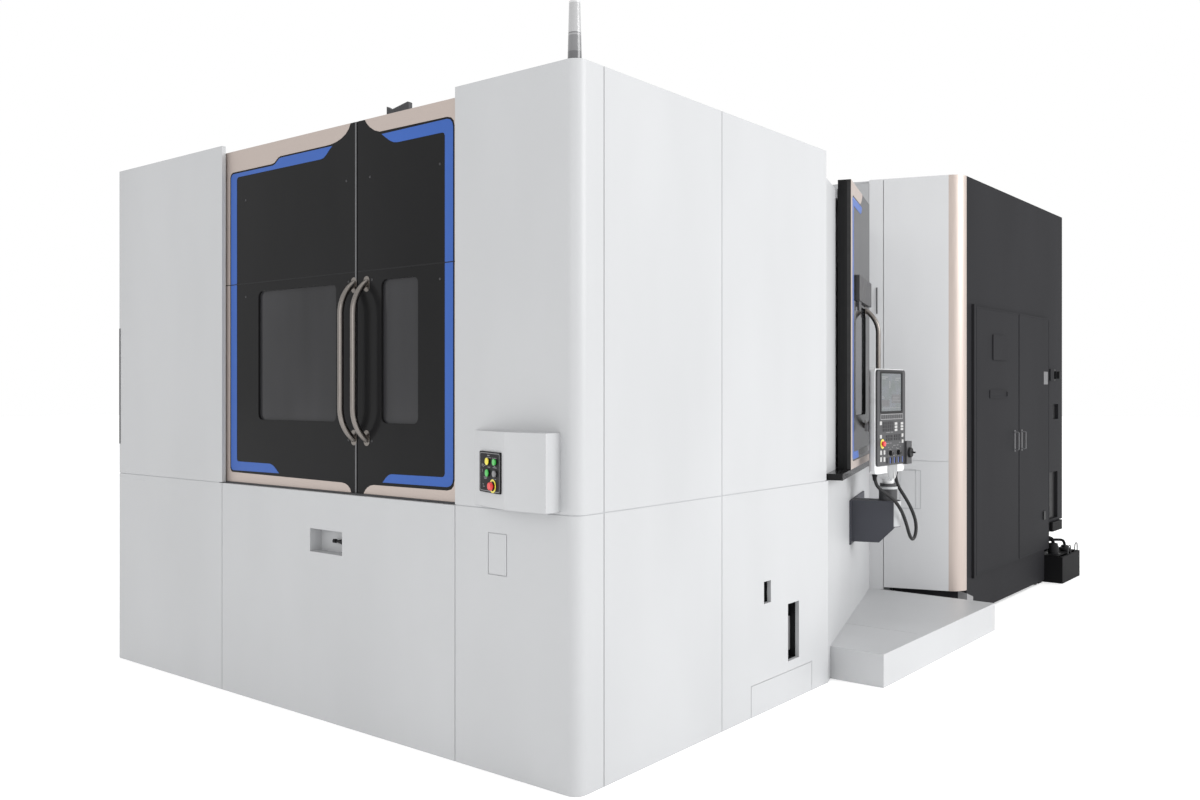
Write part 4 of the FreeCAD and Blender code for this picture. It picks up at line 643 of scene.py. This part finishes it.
slabs("face_keys_white", faceBoard, whiteKeys, keyWhite, "pendant", 0.8)
darkKeys = [(roundBox(y, 1302, y + 44, 1342, 4), 0, 5) for y in (3450, 3520, 3590, 3660)]
slabs("face_keys_feed", faceBoard, darkKeys, keyBlack, "pendant", 1.0)
slabs("face_keys_feed_edge", faceBoard,
      [(roundBox(y + 46, 1302, y + 58, 1342, 3), 0, 3.4) for y in (3450, 3520, 3590, 3660)],
      keyBlue, "pendant", 0.7)
slabs("face_legends", faceBoard, [(roundBox(y, z, y + w, z + 4, 1), 0, 0.5) for y, z, w in
                                  ((3440, 1442, 46), (3500, 1442, 30), (3560, 1424, 40), (3620, 1424, 32),
                                   (3660, 1442, 28), (3470, 1412, 20), (3540, 1412, 14), (3610, 1404, 18),
                                   (3676, 1412, 16), (3440, 1518, 60), (3520, 1518, 34), (3372, 1352, 12),
                                   (3480, 1352, 18), (3560, 1352, 22), (3640, 1352, 18))],
      keyGrey, "pendant")
slabs("estop_collar", faceBoard, [(ring(3378, 1443, 33, 40), 0, 1.4, [ring(3378, 1443, 12, 32)])],
      yellowPlastic, "pendant", 0.4)
for tag, y in (("feed", 3505), ("speed", 3641)):
    ticks = []
    for i in range(15):
        a = math.radians(225 - 270 * i / 14)
        c, s = math.cos(a), math.sin(a)
        ticks.append(([(y + 24 * c - 0.8 * s, 1374 + 24 * s + 0.8 * c),
                       (y + 30 * c - 0.8 * s, 1374 + 30 * s + 0.8 * c),
                       (y + 30 * c + 0.8 * s, 1374 + 30 * s - 0.8 * c),
                       (y + 24 * c + 0.8 * s, 1374 + 24 * s - 0.8 * c)], 0, 0.4))
    slabs(f"knob_scale_{tag}", faceBoard, ticks, keyWhite, "pendant")
    slabs(f"knob_mark_{tag}", boardAt(at(pendantFace["x"] + pendantFace["knobRise"], 0, 0), (0, 1, 0)),
          [(roundBox(y - 1.4, 1378, y + 1.4, 1390, 1), -0.2, 0.4)],
          keyWhite, f"{tag}_knob")
slabs("face_top_trim", faceBoard, [([(3310, 1947), (3756, 1947), (3740, 1953), (3700, 1956.5),
                                     (3366, 1956.5), (3326, 1953)], -1, 3)],
      keyBlack, "pendant", 0.8)
lathe("shell_back_knob", boardAt(at(pendantFace["shellBack"], 3306, 1560), (0, -1, 0)),
      [(30, 0), (30, 20), (27, 24), (18, 26), (4, 26.5)],
      keyGrey, "pendant")
lathe("dome_cap", boardAt(at(-75, 3575, 1257), (0, 1, 0)),
      [(84, -1), (84, 3), (78, 7), (50, 10), (12, 11)], greyDome, "pendant")
slabs("dome_wedge", boardAt(at(-65, 0, 0), (0, 1, 0)),
      [([(3575, 1252), (3610, 1196), (3582, 1184)], 0, 3)], keyWhite, "pendant", 0.8)
postLow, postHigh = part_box("pendant_post")
postMid = Vector(((postLow.x + postHigh.x) / 2, (postLow.y + postHigh.y) / 2, 0))
lathe("post_ring", Matrix.Translation(postMid),
      [(64.2, 1116), (65.8, 1118), (65.8, 1130), (64.2, 1133.5), (57.2, 1134.5), (57.2, 1116)],
      metalPaint, "root", count=48)
capArc = [(r * math.cos(wallTurn + math.radians(a)), r * math.sin(wallTurn + math.radians(a)))
          for r, turns in ((88.8, range(-72, 73, 8)), (80, range(72, -73, -8))) for a in turns]
slabs("bracket_end_cap", Matrix.Translation(postMid), [(capArc, 856, 1034)],
      metalPaint, "root", 0.8)
print("pendant")

# rear block, cabinet and tank
cabBoard = boardAt(at(0, 0, 0), (0, 1, 0))
doorFace = 20
cabinetPull = {"low": 1294, "high": 1447, "reach": 34, "radius": 6, "turn": 14}


def cabinetPullLine(y, low, high, reach, turn):      # a U of rod standing on the door face
    out = doorFace + reach
    return [(y, low, doorFace), (y, low, out), (y, low + turn, out), (y, high - turn, out),
            (y, high, out), (y, high, doorFace)]


for tag, y in (("front", 5982), ("rear", 6176)):
    body = "cabinet_door_" + tag
    bentTube("cabinet_pull_" + tag, cabBoard,
             cabinetPullLine(y, cabinetPull["low"], cabinetPull["high"], cabinetPull["reach"],
                             cabinetPull["turn"]),
             cabinetPull["radius"], tagGrey, body)
    slabs("cabinet_pull_plate_" + tag, cabBoard,
          [(roundBox(y - 12, 1276, y + 12, 1465, 6), doorFace, doorFace + 2.4)],
          tagGrey, body, 0.6)
slabs("cabinet_window_frame", cabBoard, [(roundBox(5398, 2069, 5755, 2283, 12), doorFace, doorFace + 9)],
      cabinetBlack, "cabinet_door_front", 2.0)
slabs("cabinet_data_slot", cabBoard, [(roundBox(5326, 1749, 5781, 1817, 8), doorFace, doorFace + 7,
                                       [roundBox(5346, 1763, 5761, 1803, 5)]),
                                      (roundBox(5340, 1757, 5767, 1809, 4), doorFace, doorFace + 1)],
      cabinetBlack, "cabinet_door_front", 1.2)
for tag, low, high, body in (("front", 5010, 6098, "cabinet_door_front"),
                             ("rear", 6102, 7000, "cabinet_door_rear")):
    slabs("cabinet_door_edge_" + tag, cabBoard,
          [([(low + 8, 320), (high - 8, 320), (high - 8, 2489), (low + 8, 2489)], doorFace, doorFace + 1.4,
            [[(low + 16, 328), (high - 16, 328), (high - 16, 2481), (low + 16, 2481)]])],
          cabinetBlack, body, 0.5)
slabs("cabinet_hinge_post", cabBoard, [([(4962, 300), (5006, 300), (5006, 2509), (4962, 2509)], 0, 22)],
      cabinetBlack, "root", 3)
for tag, z in (("low", 620), ("middle", 1400), ("high", 2180)):
    slabs("tail_hinge_" + tag, cabBoard, [(roundBox(7002, z, 7022, z + 90, 5), 0, 18)], cabinetBlack,
          "root", 2)
slabs("cabinet_catch", cabBoard, [(roundBox(6800, 600, 6862, 678, 6), doorFace, doorFace + 10)],
      blackPlastic, "cabinet_door_rear", 2)
slabs("cabinet_tag", cabBoard, [(roundBox(6826, 1870, 6950, 1990, 4), doorFace, doorFace + 2)],
      tagGrey, "cabinet_door_rear", 0.5)
slabs("cabinet_foot_front", boardAt(at(0, 4850, 0), (1, 0, 0)),
      [([(-70, 104), (-1, 104), (-1, 196), (-70, 210)], 0, 1.5)],
      keyGrey, "root", 0.5)
slabs("cabinet_foot_side", cabBoard, [([(4850, 104), (4992, 104), (4992, 150), (4850, 196)], 0, 1.5)],
      keyGrey, "root", 0.5)
panelBoard = boardAt(at(-384, 4622.5, 0), (math.cos(wallTurn), math.sin(wallTurn), 0))
slabs("rear_panel_hatch", panelBoard,
      [(roundBox(-190, 864, 92, 1176, 6), 0, 1, [roundBox(-184, 870, 86, 1170, 5)])],
      metalPaint, "root")
slabs("tail_gap_line", cabBoard, [([(6908, 660), (6914, 660), (6914, 2430), (6908, 2430)], 0, 0.8)],
      blackPlastic, "root")
# painted shade: black sheets just behind the two openings stand in for the shade inside
slabs("opening_shade_backs", boardAt(at(-25, 0, 0), (0, 1, 0)),
      [(roundBox(7065, 565, 7355, 1035, 4), -4, -1), (roundBox(7180, 1525, 7380, 1690, 4), -4, -1)],
      blackPlastic, "root")
bentTube("strip_pull", boardAt(atWall(0, 4515, 0), (math.cos(wallTurn), math.sin(wallTurn), 0)),
         [(812, 2440, 0), (812, 2440, 8), (812, 2450, 8), (812, 2634, 8), (812, 2644, 8), (812, 2644, 0)],
         5, darkSteel, "root")
floorBoard = Matrix.Translation(at(0, 0, 0))      # x and y on the floor, z up
lathe("pump_motor", Matrix.Translation(at(40, 7060, 0)),
      [(52, 150), (52, 236), (66, 240), (66, 256), (48, 258), (48, 330), (42, 336), (42, 352), (20, 358),
       (6, 360)],
      blackPlastic, "root", count=40)
lathe("pump_filter", Matrix.Translation(at(70, 7330, 0)), [(40, 150), (40, 262), (58, 264), (58, 282),
                                                           (34, 292), (30, 308), (8, 312)],
      blackPlastic, "root", count=36)
slabs("tank_lid", Matrix.Translation(at(0, 0, 247)), [(roundBox(-60, 6930, 120, 7480, 8), 0.3, 7)],
      tankBlack, "root", 1.5)
slabs("tank_rim", Matrix.Translation(at(0, 0, 240)),
      [([(-30, 6914), (164, 6914), (164, 7499), (-30, 7499)], 0, 7,
        [[(-12, 6932), (146, 6932), (146, 7481), (-12, 7481)]])],
      tankBlack, "root", 1.2)
for i, y in enumerate((7190, 7420)):
    bentTube(f"tank_lifting_loop_{i}", floorBoard, [(150, y - 46, 244), (152, y - 46, 318), (152, y, 330),
                                                    (152, y + 46, 318), (150, y + 46, 244)],
             5, darkSteel, "root")
bentTube("tank_pipe", floorBoard, [(40, 7060, 330), (40, 7060, 392), (10, 7020, 410), (-60, 6990, 410),
                                   (-110, 6990, 410)], 16,
         tankBlack, "root")
bentTube("tank_pipe_low", floorBoard, [(70, 7330, 300), (70, 7330, 356), (20, 7250, 366),
                                       (-40, 7140, 366), (-110, 7060, 366)], 13,
         tankBlack, "root")
slabs("tail_chute", Matrix.Translation(at(0, 0, 0)), [(roundBox(-150, 7080, 30, 7400, 10), 458, 548)],
      tankBlack, "root", 4)
lathe("cabinet_caster_wheel", boardAt(at(-20, 6690, 50), (0, 1, 0)),
      [(14, -16), (44, -15), (49, -10), (49, 10), (44, 15), (14, 16)],
      blackPlastic, "root", count=32)
slabs("knob_base", cabBoard, [(ring(7246, 1962, 58, 40), 0, 1.6, [ring(7246, 1962, 14, 32)])],
      blackPlastic, "root", 0.5)
print("rear block, cabinet and tank")

# floor and light
light = {"world": 1.0, "front": 40, "side": 1080, "top": 120, "floor": 0.30}


def paleFloor():
    mat, shader = newFinish("pale_floor", (0.95, 0.95, 0.95), 0.8, shine=0.1)
    cloud = grainSource(mat, 0.4, detail=2.0)
    shadeColour(mat, shader, cloud.outputs["Fac"], (0.93, 0.93, 0.93), (0.95, 0.95, 0.95))
    shader.inputs["Emission Color"].default_value = (1, 1, 1, 1)
    shader.inputs["Emission Strength"].default_value = light["floor"]
    return mat


floorSize = 70
bm = bmesh.new()
corners = [bm.verts.new((x * floorSize, y * floorSize, -0.002)) for x,
           y in ((-1, -1), (1, -1), (1, 1), (-1, 1))]
bm.faces.new(corners)
floor = bpy.data.objects.new("floor", meshFrom("floor", bm))
bpy.context.scene.collection.objects.link(floor)
floor.data.materials.append(paleFloor())

world = bpy.data.worlds.new("studio")
bpy.context.scene.world = world
world.use_nodes = True
world.node_tree.nodes["Background"].inputs["Color"].default_value = (1.0, 1.0, 1.0, 1)
world.node_tree.nodes["Background"].inputs["Strength"].default_value = light["world"]


def softBox(name, where, target, size, power):
    lamp = bpy.data.lights.new(name, "AREA")
    lamp.shape, lamp.size, lamp.size_y, lamp.energy = "RECTANGLE", size[0], size[1], power
    holder = bpy.data.objects.new(name, lamp)
    bpy.context.scene.collection.objects.link(holder)
    holder.location = where
    holder.rotation_euler = (Vector(target) - Vector(where)).to_track_quat("-Z", "Y").to_euler()


softBox("side_light", (14, 2, 6), (1.8, 0, 1.6), (9, 6), light["side"])
softBox("front_light", (2.6, -8.2, 3), (1.5, -3.7, 2), (3, 3), light["front"])
softBox("top_light", (2, -2, 11), (0, 0, 1), (8, 8), light["top"])
bpy.context.scene.view_settings.view_transform = "Standard"
print("floor and light")
